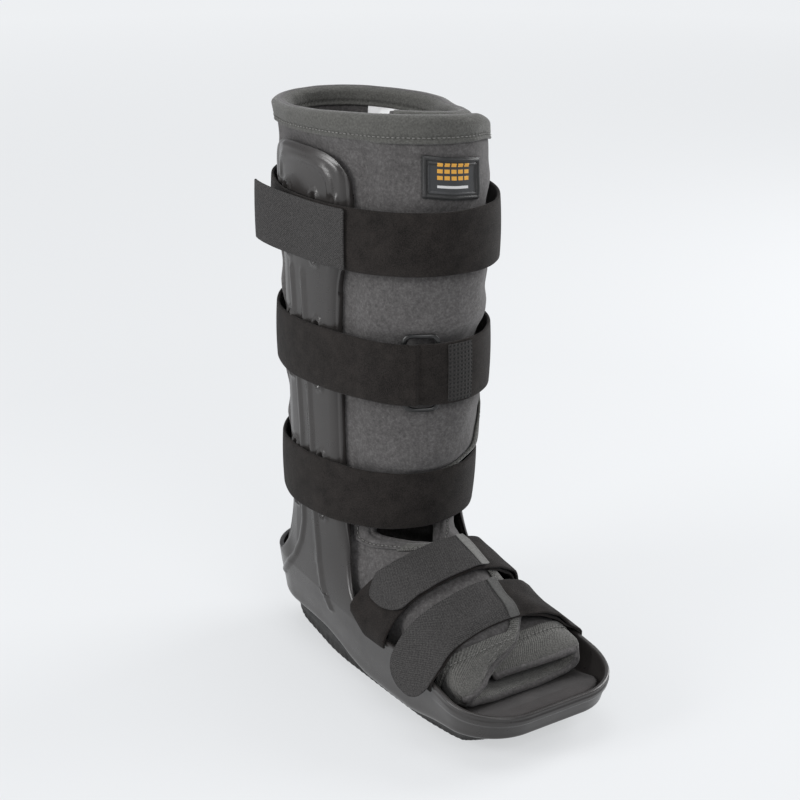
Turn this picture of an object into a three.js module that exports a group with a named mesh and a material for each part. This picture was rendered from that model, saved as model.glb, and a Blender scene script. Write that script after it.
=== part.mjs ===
// A medical walking boot: a moulded shell with two uprights on a rocker sole, a padded liner that
// wraps the leg and foot, three leg straps and two foot straps. Millimetres, +Z up, toe towards -Y.
import * as THREE from "three";

// Foot of the shell
const FOOT_LENGTH = 300;
const TOE_HALF_WIDTH = 66.8;
const HEEL_HALF_WIDTH = 56.6;
const TOE_CORNER = 42;
const HEEL_CORNER = 50;
const SHELL_WALL = 3.5;
const SIDE_HEIGHT = 54;
const FLOOR_CORNER = 12;
const SIDE_LEAN = 4;

// Uprights of the shell
const STRUT_TOP = 392;
const STRUT_CENTRE = 66;
const STRUT_DEPTH = 68;
const STRUT_CORNER = 30;
const STRUT_CURVE = 95;
const STRUT_FLANGE = 5.5;
const STRUT_BLEND = 55;
const RIB_HEIGHT = 1.4;

// Sole and footbed
const FOOTBED = 4;

// Liner
const LINER_TOP = 410;
const LINER_HALF_WIDTH = 62;
const LINER_WALL = 7;
const FLAP_GAP = 5.4;
const COLLAR_TUCK = 7;
const PRESS_REACH = 9;
const BINDING_WALL = 1.6;
const BINDING_DEPTH = 13;

// Straps
const STRAP_WIDTH = 42;
const STRAP_THICK = 2.4;
const TAB_THICK = 1.6;
const TOP_STRAP_HEIGHT = 336;
const MIDDLE_STRAP_HEIGHT = 244;
const LOWER_STRAP_HEIGHT = 144;
const STRAP_END_DROP = 9;
const STRAP_STAND = 3.9;
const RING_STAND = 2.8;
const RING_CHEST = 2.25;
const RING_BACK = 2.15;
const RING_WIRE = 2.6;
const RING_LENGTH = 24;
const RING_HEIGHT = 54;

// Patch and care label
const PATCH_THICK = 1.8;
const LABEL_THICK = 0.8;

// Clearance between pieces that touch
const GAP = 0.35;

// Side view of the foot. Along is a share of the foot's length from its middle, toe first; the
// heights are shares of the side height.
const FOOT_SIDE = [
  { along: -0.5, tread: 0.28, edge: 0.33, floor: 0.44, rim: 0.68 },
  { along: -0.42, tread: 0.14, edge: 0.31, floor: 0.42, rim: 0.73 },
  { along: -0.3, tread: 0, edge: 0.24, floor: 0.4, rim: 0.87 },
  { along: -0.16, tread: 0, edge: 0.12, floor: 0.39, rim: 0.99 },
  { along: 0, tread: 0, edge: 0.14, floor: 0.39, rim: 1 },
  { along: 0.07, tread: 0, edge: 0.22, floor: 0.41, rim: 1.02 },
  { along: 0.13, tread: 0, edge: 0.34, floor: 0.45, rim: 1.06 },
  { along: 0.2, tread: 0.02, edge: 0.44, floor: 0.52, rim: 1.12 },
  { along: 0.3, tread: 0.13, edge: 0.49, floor: 0.56, rim: 1.18 },
  { along: 0.42, tread: 0.28, edge: 0.52, floor: 0.57, rim: 1.27 },
  { along: 0.5, tread: 0.36, edge: 0.52, floor: 0.57, rim: 1.25 },
];

// The shell's wall from its floor to its rim, in millimetres in from the rim's outline. Out and in
// give the shares of the height where the outer and the inner face pass each row.
const TRAY_ROWS = [
  { outer: 13, out: 0, inner: 18, in: 0 },
  { outer: 8.5, out: 0.04, inner: 12.5, in: 0.03 },
  { outer: 5.5, out: 0.13, inner: 9.5, in: 0.12 },
  { outer: 4, out: 0.34, inner: 7.5, in: 0.32 },
  { outer: 1.6, out: 0.7, inner: 5.1, in: 0.66 },
  { outer: 0, out: 1, inner: 3.5, in: 1 },
];

// Front and back edges of an upright. Up is a share of its top height; the edges are shares of
// its depth, measured forward and back from its centre line.
const STRUT_EDGES = [
  { up: 0.138, front: 1.1, back: 0.87 },
  { up: 0.16, front: 0.86, back: 0.83 },
  { up: 0.19, front: 0.7, back: 0.67 },
  { up: 0.24, front: 0.59, back: 0.56 },
  { up: 0.3, front: 0.54, back: 0.52 },
  { up: 0.45, front: 0.49, back: 0.51 },
  { up: 0.65, front: 0.49, back: 0.51 },
  { up: 0.75, front: 0.53, back: 0.51 },
  { up: 0.81, front: 0.63, back: 0.56 },
  { up: 0.87, front: 0.74, back: 0.63 },
  { up: 1.0, front: 0.74, back: 0.64 },
];

// Sections of the liner from the toe opening to the collar. Each lies in a plane through a front
// point and a back point. The y values are shares of the foot's length. Heights are shares of the
// way from the footbed to the liner's top. Half is a share of the room inside the shell where leg
// is 0 and of the liner's half width where leg is 1. Square and chest make the back and the front
// half boxy, outer and inner are the angles in degrees where the two flaps end, and bulge is how
// far the outer flap stands off. Wall and bulge are shares of the liner's wall.
const LINER_SECTIONS = [
  [-0.375, 0.1, -0.36, 0, 0.93, 0, 3.4, 2.2, -45, -75, 0.8, 0],
  [-0.325, 0.126, -0.26, 0, 0.94, 0, 3.4, 2.2, -8, -55, 0.82, 0],
  [-0.255, 0.15, -0.16, 0, 0.95, 0, 3.4, 2.1, 22, -40, 0.85, 0],
  [-0.175, 0.186, -0.06, 0, 0.95, 0, 3.4, 2.1, 36, -34, 0.9, 0],
  [-0.09, 0.213, 0.055, 0, 0.95, 0, 3.2, 2.1, 22, -14, 0.93, 0],
  [-0.03, 0.227, 0.17, 0, 0.94, 0.1, 3, 2.1, -28, 18, 0.95, 0],
  [0.003, 0.238, 0.29, 0, 0.93, 0.3, 2.8, 2.1, -50, 40, 0.95, 0],
  [0.01, 0.247, 0.385, 0.012, 0.9, 0.5, 2.6, 2.2, -60, 50, 0.95, 0],
  [0.007, 0.256, 0.437, 0.035, 0.86, 0.7, 2.5, 2.2, -62, 52, 0.95, 0],
  [0, 0.265, 0.463, 0.075, 0.82, 0.9, 2.4, 2.2, -62, 50, 0.95, 0],
  [-0.007, 0.276, 0.474, 0.125, 0.79, 1, 2.3, 2.2, -56, 45, 0.97, 0],
  [-0.012, 0.291, 0.472, 0.18, 0.8, 1, 2.2, 2.1, -44, 38, 1, 0],
  [-0.022, 0.313, 0.473, 0.245, 0.82, 1, 2.1, 2.1, -24, 28, 1, 0],
  [-0.038, 0.35, 0.476, 0.31, 0.85, 1, 2.1, 2.1, 8, 6, 1, 0],
  [-0.062, 0.395, 0.487, 0.375, 0.88, 1, 2, 2.1, 36, -14, 1, 0.2],
  [-0.083, 0.48, 0.497, 0.47, 0.91, 1, 2, 2.1, 52, -28, 1, 0.4],
  [-0.068, 0.57, 0.49, 0.57, 0.9, 1, 2, 2.1, 57, -36, 1, 0.2],
  [-0.094, 0.67, 0.508, 0.67, 0.925, 1, 2, 2.1, 57, -40, 1, 0.5],
  [-0.09, 0.81, 0.51, 0.81, 0.93, 1, 2, 2.1, 57, -40, 1, 0.3],
  [-0.096, 0.93, 0.515, 0.93, 0.935, 1, 2, 2.2, 57, -40, 1, 0.4],
  [-0.096, 1, 0.518, 1, 0.99, 1, 2, 2, 56, -40, 1, 0.3],
].map(([frontY, frontZ, backY, backZ, half, leg, square, chest, outer, inner, wall, bulge], row) => ({
  row, frontY, frontZ, backY, backZ, half, leg, square, chest, outer, inner, wall, bulge,
}));
const LINER_ROWS = LINER_SECTIONS.length - 1;
const ANKLE_ROW = 11;
const SPLIT = 0.03;
const LINER_COLUMNS = 34;
const STRAP_COLUMNS = 32;
const FOOT_STRAP_COLUMNS = 12;
const FOOT_STRAP_TURN = 80;
const FRAME_TURN = 25;

// A value between the rows of a table, on a smooth curve that never swings past them.
function follow(table, place, key, at) {
  const last = table.length - 1;
  const slope = (i) => (table[i + 1][key] - table[i][key]) / (table[i + 1][place] - table[i][place]);
  const bend = (i) => {
    if (i === 0) return slope(0);
    if (i === last) return slope(last - 1);
    const product = slope(i - 1) * slope(i);
    return product > 0 ? (2 * product) / (slope(i - 1) + slope(i)) : 0;
  };
  let i = 0;
  while (i < last - 1 && at > table[i + 1][place]) i += 1;
  const span = table[i + 1][place] - table[i][place];
  const t = THREE.MathUtils.clamp((at - table[i][place]) / span, 0, 1);
  const t2 = t * t;
  const t3 = t2 * t;
  return (
    (2 * t3 - 3 * t2 + 1) * table[i][key] +
    (t3 - 2 * t2 + t) * span * bend(i) +
    (3 * t2 - 2 * t3) * table[i + 1][key] +
    (t3 - t2) * span * bend(i + 1)
  );
}

const { lerp, smoothstep, degToRad } = THREE.MathUtils;
const steps = (from, to, count) => Array.from({ length: count + 1 }, (_, i) => lerp(from, to, i / count));
const vec = (x, y, z) => new THREE.Vector3(x, y, z);

// A closed solid between a sheet of four-sided faces and its partner sheet: point i of the inner
// sheet lies under point i of the outer one, and each free edge gets a wall.
function thicken(outer, inner, quads) {
  const n = outer.length;
  const faces = [];
  const edges = new Map();
  const add = (a, b, c) => {
    if (a === b || b === c || c === a) return;
    faces.push([a, b, c], [a + n, c + n, b + n]);
    for (const [p, q] of [[a, b], [b, c], [c, a]]) {
      if (!edges.delete(`${q},${p}`)) edges.set(`${p},${q}`, [p, q]);
    }
  };
  for (const [a, b, c, d] of quads) {
    if (outer[a].distanceTo(outer[c]) < outer[b].distanceTo(outer[d])) {
      add(a, b, c);
      add(a, c, d);
    } else {
      add(b, c, d);
      add(b, d, a);
    }
  }
  for (const [p, q] of edges.values()) faces.push([q, p, p + n], [q, p + n, q + n]);
  return geometry([...outer, ...inner], faces);
}

// A geometry from points and three-sided faces, turned so that its faces point out.
function geometry(points, faces) {
  const volume = faces.reduce((sum, [a, b, c]) => {
    const cross = new THREE.Vector3().crossVectors(points[b], points[c]);
    return sum + points[a].dot(cross);
  }, 0);
  const index = faces.flatMap(([a, b, c]) => (volume < 0 ? [a, c, b] : [a, b, c]));
  const made = new THREE.BufferGeometry().setFromPoints(points);
  made.setIndex(index);
  return made;
}

// The faces of a grid of rows and columns, closed round the columns or the rows where asked.
function gridQuads(rows, columns, roundColumns = false, roundRows = false) {
  const quads = [];
  const lastRow = roundRows ? rows : rows - 1;
  const lastColumn = roundColumns ? columns : columns - 1;
  for (let r = 0; r < lastRow; r += 1) {
    for (let c = 0; c < lastColumn; c += 1) {
      const up = (r + 1) % rows;
      const right = (c + 1) % columns;
      quads.push([r * columns + c, r * columns + right, up * columns + right, up * columns + c]);
    }
  }
  return quads;
}

// A wall between two grids of points, given as rows of points.
function wall(outer, inner, roundColumns = false, roundRows = false) {
  const quads = gridQuads(outer.length, outer[0].length, roundColumns, roundRows);
  return thicken(outer.flat(), inner.flat(), quads);
}

// Foot of the shell in plan. A column holds the centre, the radius and the outward direction of
// one place on the rim's outline, so that a point further in lies at a smaller radius.
const TOE_CENTRE = vec(-(TOE_HALF_WIDTH - TOE_CORNER), -FOOT_LENGTH / 2 + TOE_CORNER, 0);
const HEEL_CENTRE = vec(-(HEEL_HALF_WIDTH - HEEL_CORNER), FOOT_LENGTH / 2 - HEEL_CORNER, 0);
const SIDE_TURN =
  Math.atan2(HEEL_CENTRE.x - TOE_CENTRE.x, HEEL_CENTRE.y - TOE_CENTRE.y) +
  Math.asin((TOE_CORNER - HEEL_CORNER) / HEEL_CENTRE.distanceTo(TOE_CENTRE));

function column(centre, radius, turn) {
  return { x: centre.x, y: centre.y, radius, nx: -Math.sin(turn), ny: -Math.cos(turn) };
}

// A place on the left side or round the heel that has a given y.
function sideColumn(y) {
  const turn = Math.PI / 2 + SIDE_TURN;
  const lift = -Math.cos(turn);
  const low = TOE_CENTRE.y + TOE_CORNER * lift;
  const high = HEEL_CENTRE.y + HEEL_CORNER * lift;
  if (y > high) return column(HEEL_CENTRE, HEEL_CORNER, Math.acos(-(y - HEEL_CENTRE.y) / HEEL_CORNER));
  const share = (y - low) / (high - low);
  const centre = TOE_CENTRE.clone().lerp(HEEL_CENTRE, share);
  return column(centre, lerp(TOE_CORNER, HEEL_CORNER, share), turn);
}

// Half width of the outline at a y, a distance in from the rim.
function halfWidth(y, inset) {
  if (y < TOE_CENTRE.y) {
    const radius = TOE_CORNER - inset;
    return Math.sqrt(Math.max(0, radius ** 2 - (y - TOE_CENTRE.y) ** 2)) - TOE_CENTRE.x;
  }
  if (y > HEEL_CENTRE.y) {
    const radius = HEEL_CORNER - inset;
    return Math.sqrt(Math.max(0, radius ** 2 - (y - HEEL_CENTRE.y) ** 2)) - HEEL_CENTRE.x;
  }
  const share = (y - TOE_CENTRE.y) / (HEEL_CENTRE.y - TOE_CENTRE.y);
  return lerp(TOE_HALF_WIDTH, HEEL_HALF_WIDTH, share) - inset;
}

const footHeight = (y, key) => SIDE_HEIGHT * follow(FOOT_SIDE, "along", key, y / FOOT_LENGTH);
const strutFront = (z) => STRUT_CENTRE - STRUT_DEPTH * follow(STRUT_EDGES, "up", "front", z / STRUT_TOP);
const strutBack = (z) => STRUT_CENTRE + STRUT_DEPTH * follow(STRUT_EDGES, "up", "back", z / STRUT_TOP);
const strutHalf = (z) =>
  lerp(HEEL_HALF_WIDTH + 0.4, LINER_HALF_WIDTH + 3, (z - SIDE_HEIGHT) / (STRUT_TOP - SIDE_HEIGHT));

// Shares of an upright's depth at the columns of its mesh. Ribs are raised, edges are thick.
const STRUT_COLUMNS = [0, 0.012, 0.045, 0.09, 0.2, 0.33, 0.43, 0.47, 0.51, 0.6, 0.66, 0.7, 0.74, 0.82, 0.91,
  0.955, 0.988, 1];
const RIB_COLUMNS = [7, 11];
const STRUT_ROWS = [0.03, 0.065, 0.11, 0.17, 0.25, 0.36, 0.48, 0.6, 0.7, 0.76, 0.81, 0.86, 0.93, 0.975, 1];
const RIB_ROWS = [1, 10];
const JOIN_FRONT = strutFront(SIDE_HEIGHT);
const JOIN_BACK = strutBack(SIDE_HEIGHT);

// The outline's columns on the left half, from the middle of the toe to the middle of the heel.
function leftColumns() {
  const toe = [0, 0.5].map((share) => column(vec(TOE_CENTRE.x * share, TOE_CENTRE.y, 0), TOE_CORNER, 0));
  const corner = steps(0, Math.PI / 2 + SIDE_TURN, 6).map((turn) => column(TOE_CENTRE, TOE_CORNER, turn));
  const side = steps(TOE_CENTRE.y, JOIN_FRONT, 5).slice(1, -1).map(sideColumn);
  const strut = STRUT_COLUMNS.map((share) => sideColumn(lerp(JOIN_FRONT, JOIN_BACK, share)));
  const heelTurn = Math.acos(-(JOIN_BACK - HEEL_CENTRE.y) / HEEL_CORNER);
  const heel = steps(heelTurn, Math.PI, 5).slice(1).map((turn) => column(HEEL_CENTRE, HEEL_CORNER, turn));
  const back = column(vec(0, HEEL_CENTRE.y, 0), HEEL_CORNER, Math.PI);
  const strutStart = toe.length + corner.length + side.length;
  return { columns: [...toe, ...corner, ...side, ...strut, ...heel, back], strutStart };
}

const { columns: LEFT, strutStart: STRUT_START } = leftColumns();
const RING = 2 * LEFT.length - 2;
const mirrored = (i) => (RING - i) % RING;

// A closed ring of points round the outline, a distance in from the rim, at the height that
// heightAt gives for each y.
function footRing(inset, heightAt) {
  const points = LEFT.map(({ x, y, radius, nx, ny }) => {
    const at = vec(x + (radius - inset) * nx, y + (radius - inset) * ny, 0);
    return at.setZ(heightAt(y + radius * ny));
  });
  const right = points.slice(1, -1).reverse().map((p) => vec(-p.x, p.y, p.z));
  return [...points, ...right];
}

// Faces across a ring, from each place on the left to the place that mirrors it.
function acrossQuads() {
  return LEFT.slice(1).map((_, i) => [i + 1, i, mirrored(i), mirrored(i + 1)]);
}

// A point on the outer face of the left upright and the inward direction there.
function strutPoint(y, z, join) {
  const swing = (y - STRUT_CENTRE) / STRUT_CURVE;
  const curved = strutHalf(z) * Math.sqrt(1 - swing ** 2);
  const half = lerp(halfWidth(y, 0), curved, smoothstep(z, join, join + STRUT_BLEND));
  const inward = vec(curved / strutHalf(z) ** 2, -swing / STRUT_CURVE, 0).normalize();
  return { at: vec(-half, y, z), inward };
}

// The shell is one moulding: a tray with a floor, a rim and two ribbed uprights.
function shell() {
  const between = (low, share) => (y) => lerp(footHeight(y, low), footHeight(y, "rim"), share);
  const outer = TRAY_ROWS.flatMap((row) => footRing(row.outer, between("edge", row.out)));
  const inner = TRAY_ROWS.flatMap((row) => footRing(row.inner, between("floor", row.in)));
  const quads = [...acrossQuads(), ...gridQuads(TRAY_ROWS.length, RING, true)];
  const rimRow = (TRAY_ROWS.length - 1) * RING;
  for (const side of [-1, 1]) {
    const first = outer.length;
    addStrutPoints(side, outer, inner);
    const indexAt = (row, c) => {
      if (row >= 0) return first + row * STRUT_COLUMNS.length + c;
      return rimRow + (side < 0 ? STRUT_START + c : mirrored(STRUT_START + c));
    };
    for (let row = 0; row < STRUT_ROWS.length; row += 1) {
      for (let c = 0; c < STRUT_COLUMNS.length - 1; c += 1) {
        const quad = [indexAt(row - 1, c), indexAt(row - 1, c + 1), indexAt(row, c + 1), indexAt(row, c)];
        quads.push(side < 0 ? quad : quad.reverse());
      }
    }
  }
  return thicken(outer, inner, quads);
}

function addStrutPoints(side, outer, inner) {
  STRUT_ROWS.forEach((up, row) => {
    STRUT_COLUMNS.forEach((share, c) => {
      const join = footHeight(lerp(JOIN_FRONT, JOIN_BACK, share), "rim");
      const corner = STRUT_CORNER * Math.cbrt(1 - Math.abs(2 * share - 1) ** 3);
      const z = lerp(join, STRUT_TOP - STRUT_CORNER + corner, up);
      const y = lerp(strutFront(z), strutBack(z), share);
      const { at, inward } = strutPoint(y, z, join);
      const onRib = RIB_COLUMNS.includes(c) && row >= RIB_ROWS[0] && row <= RIB_ROWS[1];
      const atEdge = share < 0.05 || share > 0.95 || up === 1;
      const face = at.clone().addScaledVector(inward, onRib ? -RIB_HEIGHT : 0);
      const back = at.clone().addScaledVector(inward, atEdge ? STRUT_FLANGE : SHELL_WALL);
      outer.push(vec(-side * face.x, face.y, face.z));
      inner.push(vec(-side * back.x, back.y, back.z));
    });
  });
}

// A flat layer that fills a ring, between two heights.
function slab(lowInset, lowHeight, highInset, highHeight) {
  return thicken(footRing(highInset, highHeight), footRing(lowInset, lowHeight), acrossQuads());
}

// The rocker sole lies under the shell's floor and curves up at both ends.
const outsole = () =>
  slab(15, (y) => footHeight(y, "tread"), 13.5, (y) => footHeight(y, "edge") - GAP);

const bedBottom = (y) => footHeight(y, "floor") + GAP;
const footbed = () => slab(18.5, bedBottom, 11.5, (y) => bedBottom(y) + FOOTBED);

// Half of the room for the liner inside the shell at a place, without end where no shell is near.
function roomAt(y, z) {
  const floor = footHeight(y, "floor");
  const rim = footHeight(y, "rim");
  const share = (z - floor) / (rim - floor);
  if (share < 1) return halfWidth(y, follow(TRAY_ROWS, "in", "inner", Math.max(share, 0)) + 2 * GAP);
  if (y > JOIN_BACK || y < JOIN_FRONT || z > STRUT_TOP + GAP) return Infinity;
  const beside = Math.max(strutFront(z) - PRESS_REACH - y, y - strutBack(z) - PRESS_REACH, 0);
  const { at, inward } = strutPoint(y, z, footHeight(y, "rim"));
  return -at.x - (STRUT_FLANGE + 4 * GAP) / inward.x + beside / 2;
}

// Liner
const linerBed = (y) => bedBottom(y) + FOOTBED + 2 * GAP;
const linerHeight = (y, share) => lerp(linerBed(y), LINER_TOP, share);

// A section of the liner at any place between two rows of its table.
function linerSection(row) {
  const value = (key) => follow(LINER_SECTIONS, "row", key, row);
  const front = vec(0, value("frontY") * FOOT_LENGTH, 0);
  const back = vec(0, value("backY") * FOOT_LENGTH, 0);
  front.setZ(linerHeight(front.y, value("frontZ")));
  back.setZ(linerHeight(back.y, value("backZ")));
  const centre = front.clone().lerp(back, 0.5);
  const room = halfWidth(centre.y, TRAY_ROWS[2].inner);
  return {
    centre,
    reach: front.sub(centre),
    half: value("half") * lerp(room, LINER_HALF_WIDTH, value("leg")),
    square: value("square"),
    chest: value("chest"),
    outer: value("outer"),
    inner: value("inner"),
    wall: value("wall") * LINER_WALL,
    bulge: value("bulge") * LINER_WALL,
    tuck: COLLAR_TUCK * smoothstep(row, LINER_ROWS - 1, LINER_ROWS),
  };
}

// A point of the liner at an angle in degrees from its front, a distance in from its outer face.
// Below the outer flap the sheet runs further in, to leave room for that flap.
function linerPoint(section, angle, depth) {
  const { centre, reach, half, square, chest, outer, wall, bulge, tuck } = section;
  const under = 1 - smoothstep(angle, outer + 4, outer + 49);
  const raised = smoothstep(angle, 330, 360 + outer);
  const inset = depth + under * (wall + FLAP_GAP + tuck) - raised * bulge;
  const turn = degToRad(angle);
  const power = 2 / (Math.cos(turn) < 0 ? square : chest);
  const curve = (value) => Math.sign(value) * Math.abs(value) ** power;
  const forward = reach.clone().setLength(reach.length() - inset);
  const at = centre.clone().addScaledVector(forward, curve(Math.cos(turn)));
  const wide = (half - inset) * curve(Math.sin(turn));
  const limit = roomAt(at.y, at.z) - Math.max(inset, 0);
  return at.setX(Math.sign(wide) * Math.min(Math.abs(wide), Math.max(limit, 1)));
}

// Angles of the liner's columns in a section. The first and last step are as wide as the tape.
function linerAngles(section) {
  const first = section.inner;
  const last = 360 + section.outer;
  const edge = (BINDING_DEPTH * 180) / (Math.PI * section.half);
  return [first, ...steps(first + edge, last - edge, LINER_COLUMNS), last];
}

// One part of the liner: a padded sheet that wraps round from its inner flap to its outer flap.
function linerPart(rows) {
  const face = (depth) =>
    rows.map((row) => {
      const section = linerSection(row);
      return linerAngles(section).map((angle) => linerPoint(section, angle, depth * section.wall));
    });
  return wall(face(0), face(1));
}

const FOOT_ROWS = [0, 0.5, 1, 1.5, 2, 2.5, 3, 3.5, 4, 4.45, 4.7, 5, 6, 7, 8, 9, 10, ANKLE_ROW - SPLIT];
const COLLAR_SPAN = (LINER_TOP - linerBed(0)) * (1 - LINER_SECTIONS[LINER_ROWS - 1].frontZ);
const COLLAR_ROW = LINER_ROWS - BINDING_DEPTH / COLLAR_SPAN;
const LEG_ROWS = [ANKLE_ROW + SPLIT, 12, 12.6, 12.95, 13.3, 14, 15, 16, 17, 18, 19, COLLAR_ROW, LINER_ROWS];

// A folded tape over a free edge of the liner. A path gives the points of the edge's outer and
// inner side, at a distance back from the edge and a distance off the liner's face.
function binding(places) {
  const face = (off) => [
    places.map((place) => place(BINDING_DEPTH, -off)),
    places.map((place) => place(0, -off)),
    places.map((place) => place(-off, -off)),
    places.map((place) => place(-off, 0, off)),
    places.map((place) => place(0, 0, off)),
    places.map((place) => place(BINDING_DEPTH, 0, off)),
  ];
  return wall(face(2 * GAP + BINDING_WALL), face(2 * GAP));
}

// Tape over the top edge of the collar.
function collarBinding() {
  const top = linerSection(LINER_ROWS);
  const low = linerSection(COLLAR_ROW);
  const places = linerAngles(top).map((_, i) => (back, depth, under) => {
    const section = back > 0 ? low : top;
    const into = under === undefined ? depth : section.wall + under;
    const at = linerPoint(section, linerAngles(section)[i], into);
    return at.setZ(at.z + Math.max(-back, 0));
  });
  return binding(places);
}

// Tape over the free edge of a flap. Side is 1 for the outer flap and -1 for the inner flap.
function flapBinding(key, side, rows) {
  const places = rows.map((row) => (back, depth, under) => {
    const section = linerSection(row);
    const end = side > 0 ? 360 + section[key] : section[key];
    const angle = end - (side * back * 180) / (Math.PI * section.half);
    return linerPoint(section, angle, under === undefined ? depth : section.wall + under);
  });
  return binding(places);
}

// Leg straps. A ring runs round the liner and the uprights. Each ring point comes from an angle
// in degrees from the front, positive towards +X, and a height.
function strapRing(height, { slackFront = 0, slackRight = 0, lean = 0 }) {
  const heightOf = (section) => linerHeight(section.frontY * FOOT_LENGTH, section.frontZ);
  const reaches = (edge) => {
    const over = LINER_SECTIONS.findIndex((section) => heightOf(section) > height + edge);
    const [low, high] = [over - 1, over].map((row) => heightOf(LINER_SECTIONS[row]));
    const near = linerSection(over - 1 + (height + edge - low) / (high - low));
    return [near.centre.y + near.reach.y - near.bulge, near.centre.y - near.reach.y];
  };
  const [low, high] = [-STRAP_WIDTH / 2, STRAP_WIDTH / 2].map(reaches);
  const front = Math.min(low[0], high[0]) - RING_STAND - slackFront;
  const back = Math.max(low[1], high[1]) + RING_STAND;
  const side = strutHalf(height + STRAP_WIDTH / 2) + RIB_HEIGHT + GAP;
  return (angle, z, off) => {
    const turn = degToRad(angle);
    const ahead = Math.cos(turn) > 0;
    const power = 2 / (ahead ? RING_CHEST : RING_BACK);
    const curve = (value) => Math.sign(value) * Math.abs(value) ** power;
    const lower = (height + STRAP_WIDTH / 2 - z) / STRAP_WIDTH;
    const along = ahead ? STRUT_CENTRE - front - lean * Math.cos(turn) * lower : back - STRUT_CENTRE;
    const across = side + off + (Math.sin(turn) > 0 ? slackRight : 0);
    return vec(across * curve(Math.sin(turn)), STRUT_CENTRE - (along + off) * curve(Math.cos(turn)), z);
  };
}

const LEG_RINGS = {
  top: strapRing(TOP_STRAP_HEIGHT, { slackFront: 3, slackRight: 3 }),
  middle: strapRing(MIDDLE_STRAP_HEIGHT, { slackFront: RING_WIRE + 3 * GAP }),
  lower: strapRing(LOWER_STRAP_HEIGHT, { lean: 8 }),
};

function legStrap(ring, height) {
  const angles = steps(-180, 180, STRAP_COLUMNS).slice(0, -1);
  const edges = [height - STRAP_WIDTH / 2, height + STRAP_WIDTH / 2];
  const face = (off) => edges.map((z) => angles.map((angle) => ring(angle, z, off)));
  return wall(face(STRAP_THICK), face(0), true);
}

// The hook tab that closes the top strap lies over the left upright, and its end stands free.
function hookTab() {
  const angles = steps(-112, -64, 6);
  const face = (off) =>
    [-1, 1].map((edge) =>
      angles.map((angle) => {
        const free = smoothstep(-angle, 85, 112);
        const z = TOP_STRAP_HEIGHT + edge * (STRAP_WIDTH / 2 - 1) + 4 * free;
        return LEG_RINGS.top(angle, z, STRAP_THICK + GAP + off + 6 * free);
      }),
    );
  return wall(face(TAB_THICK), face(0));
}

// The flat ring of the middle strap is a frame that the strap runs over.
function strapFrame() {
  const corners = [[-1, -1], [-1, 0], [-1, 1], [0, 1], [1, 1], [1, 0], [1, -1], [0, -1]];
  const frontReach = STRUT_CENTRE - LEG_RINGS.middle(0, MIDDLE_STRAP_HEIGHT, 0).y;
  const middle = -FRAME_TURN;
  const face = (off) =>
    [0, RING_WIRE].map((grow) =>
      corners.map(([across, up]) => {
        const half = RING_LENGTH / 2 - RING_WIRE + grow;
        const angle = middle + (across * half * 180) / (Math.PI * frontReach);
        const z = MIDDLE_STRAP_HEIGHT + up * (RING_HEIGHT / 2 - RING_WIRE + grow);
        return LEG_RINGS.middle(angle, z, off);
      }),
    );
  return wall(face(-2 * GAP), face(-2 * GAP - RING_WIRE), true);
}

// Foot straps run from outside the rim on the left over the instep to outside the rim on the
// right. Rows of the liner's table place their two edges, at the top and at the sides.
const FOOT_STRAPS = {
  upper: { top: [3.6, 5], side: [3.7, 4.8] },
  lower: { top: [1.95, 3.1], side: [1.15, 2.6] },
};

function footStrapPoint(strap, edge, angle, off) {
  const share = Math.min(1, (angle / FOOT_STRAP_TURN) ** 2);
  const section = linerSection(lerp(strap.top[edge], strap.side[edge], share));
  return linerPoint(section, angle + 360, -STRAP_STAND - off);
}

// Places along a foot strap: on the liner between the two leaving angles, then outside the rim.
function footStrapPath(strap, edge, off, fromAngle, toAngle) {
  const angles = steps(fromAngle, toAngle, FOOT_STRAP_COLUMNS);
  const path = angles.map((angle) => footStrapPoint(strap, edge, angle, off));
  const outside = (p, drop) => {
    const half = halfWidth(p.y, 0) + GAP + off;
    const rim = footHeight(p.y, "rim") + 0.6 * Math.max(0, p.y - JOIN_FRONT);
    return vec(Math.sign(p.x) * half, p.y, rim + 6 - drop);
  };
  const first = path[0];
  const last = path[path.length - 1];
  return [
    outside(first, STRAP_END_DROP), outside(first, 0), ...path, outside(last, 0), outside(last, STRAP_END_DROP),
  ];
}

function footStrap(strap) {
  const face = (off) =>
    [0, 1].map((edge) => footStrapPath(strap, edge, off, -FOOT_STRAP_TURN, FOOT_STRAP_TURN));
  return wall(face(STRAP_THICK), face(0));
}

// The closing tab of a foot strap lies on top of it from its right side to its rounded left end.
function footTab(strap, firstColumn) {
  const angles = steps(-FOOT_STRAP_TURN, FOOT_STRAP_TURN, FOOT_STRAP_COLUMNS).slice(firstColumn, -4);
  const face = (off) =>
    [0, 1].map((edge) =>
      angles.map((angle, i) => {
        const round = Math.sqrt(1 - (1 - Math.min(1, i / 2 + 0.15)) ** 2);
        const near = footStrapPoint(strap, edge, angle, STRAP_THICK + 4 * GAP + off);
        const far = footStrapPoint(strap, 1 - edge, angle, STRAP_THICK + 4 * GAP + off);
        return near.lerp(far, 0.5 - round / 2);
      }),
    );
  return wall(face(TAB_THICK), face(0));
}

// A thin piece that lies on the liner between two angles and two rows of its table.
function onLiner(rows, angles, low, high) {
  const face = (depth) =>
    rows.map((row) => {
      const section = linerSection(row);
      return angles.map((angle) => linerPoint(section, angle, depth(section)));
    });
  return wall(face(high), face(low));
}

const patch = () =>
  onLiner([18.58, 19, 19.3], steps(337, 375, 5), () => -GAP, () => -GAP - PATCH_THICK);

const careLabel = () =>
  onLiner([19.15, COLLAR_ROW - 0.03], steps(122, 140, 4), (s) => s.wall + 2 * GAP, (s) => s.wall + 2 * GAP + LABEL_THICK);

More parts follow.
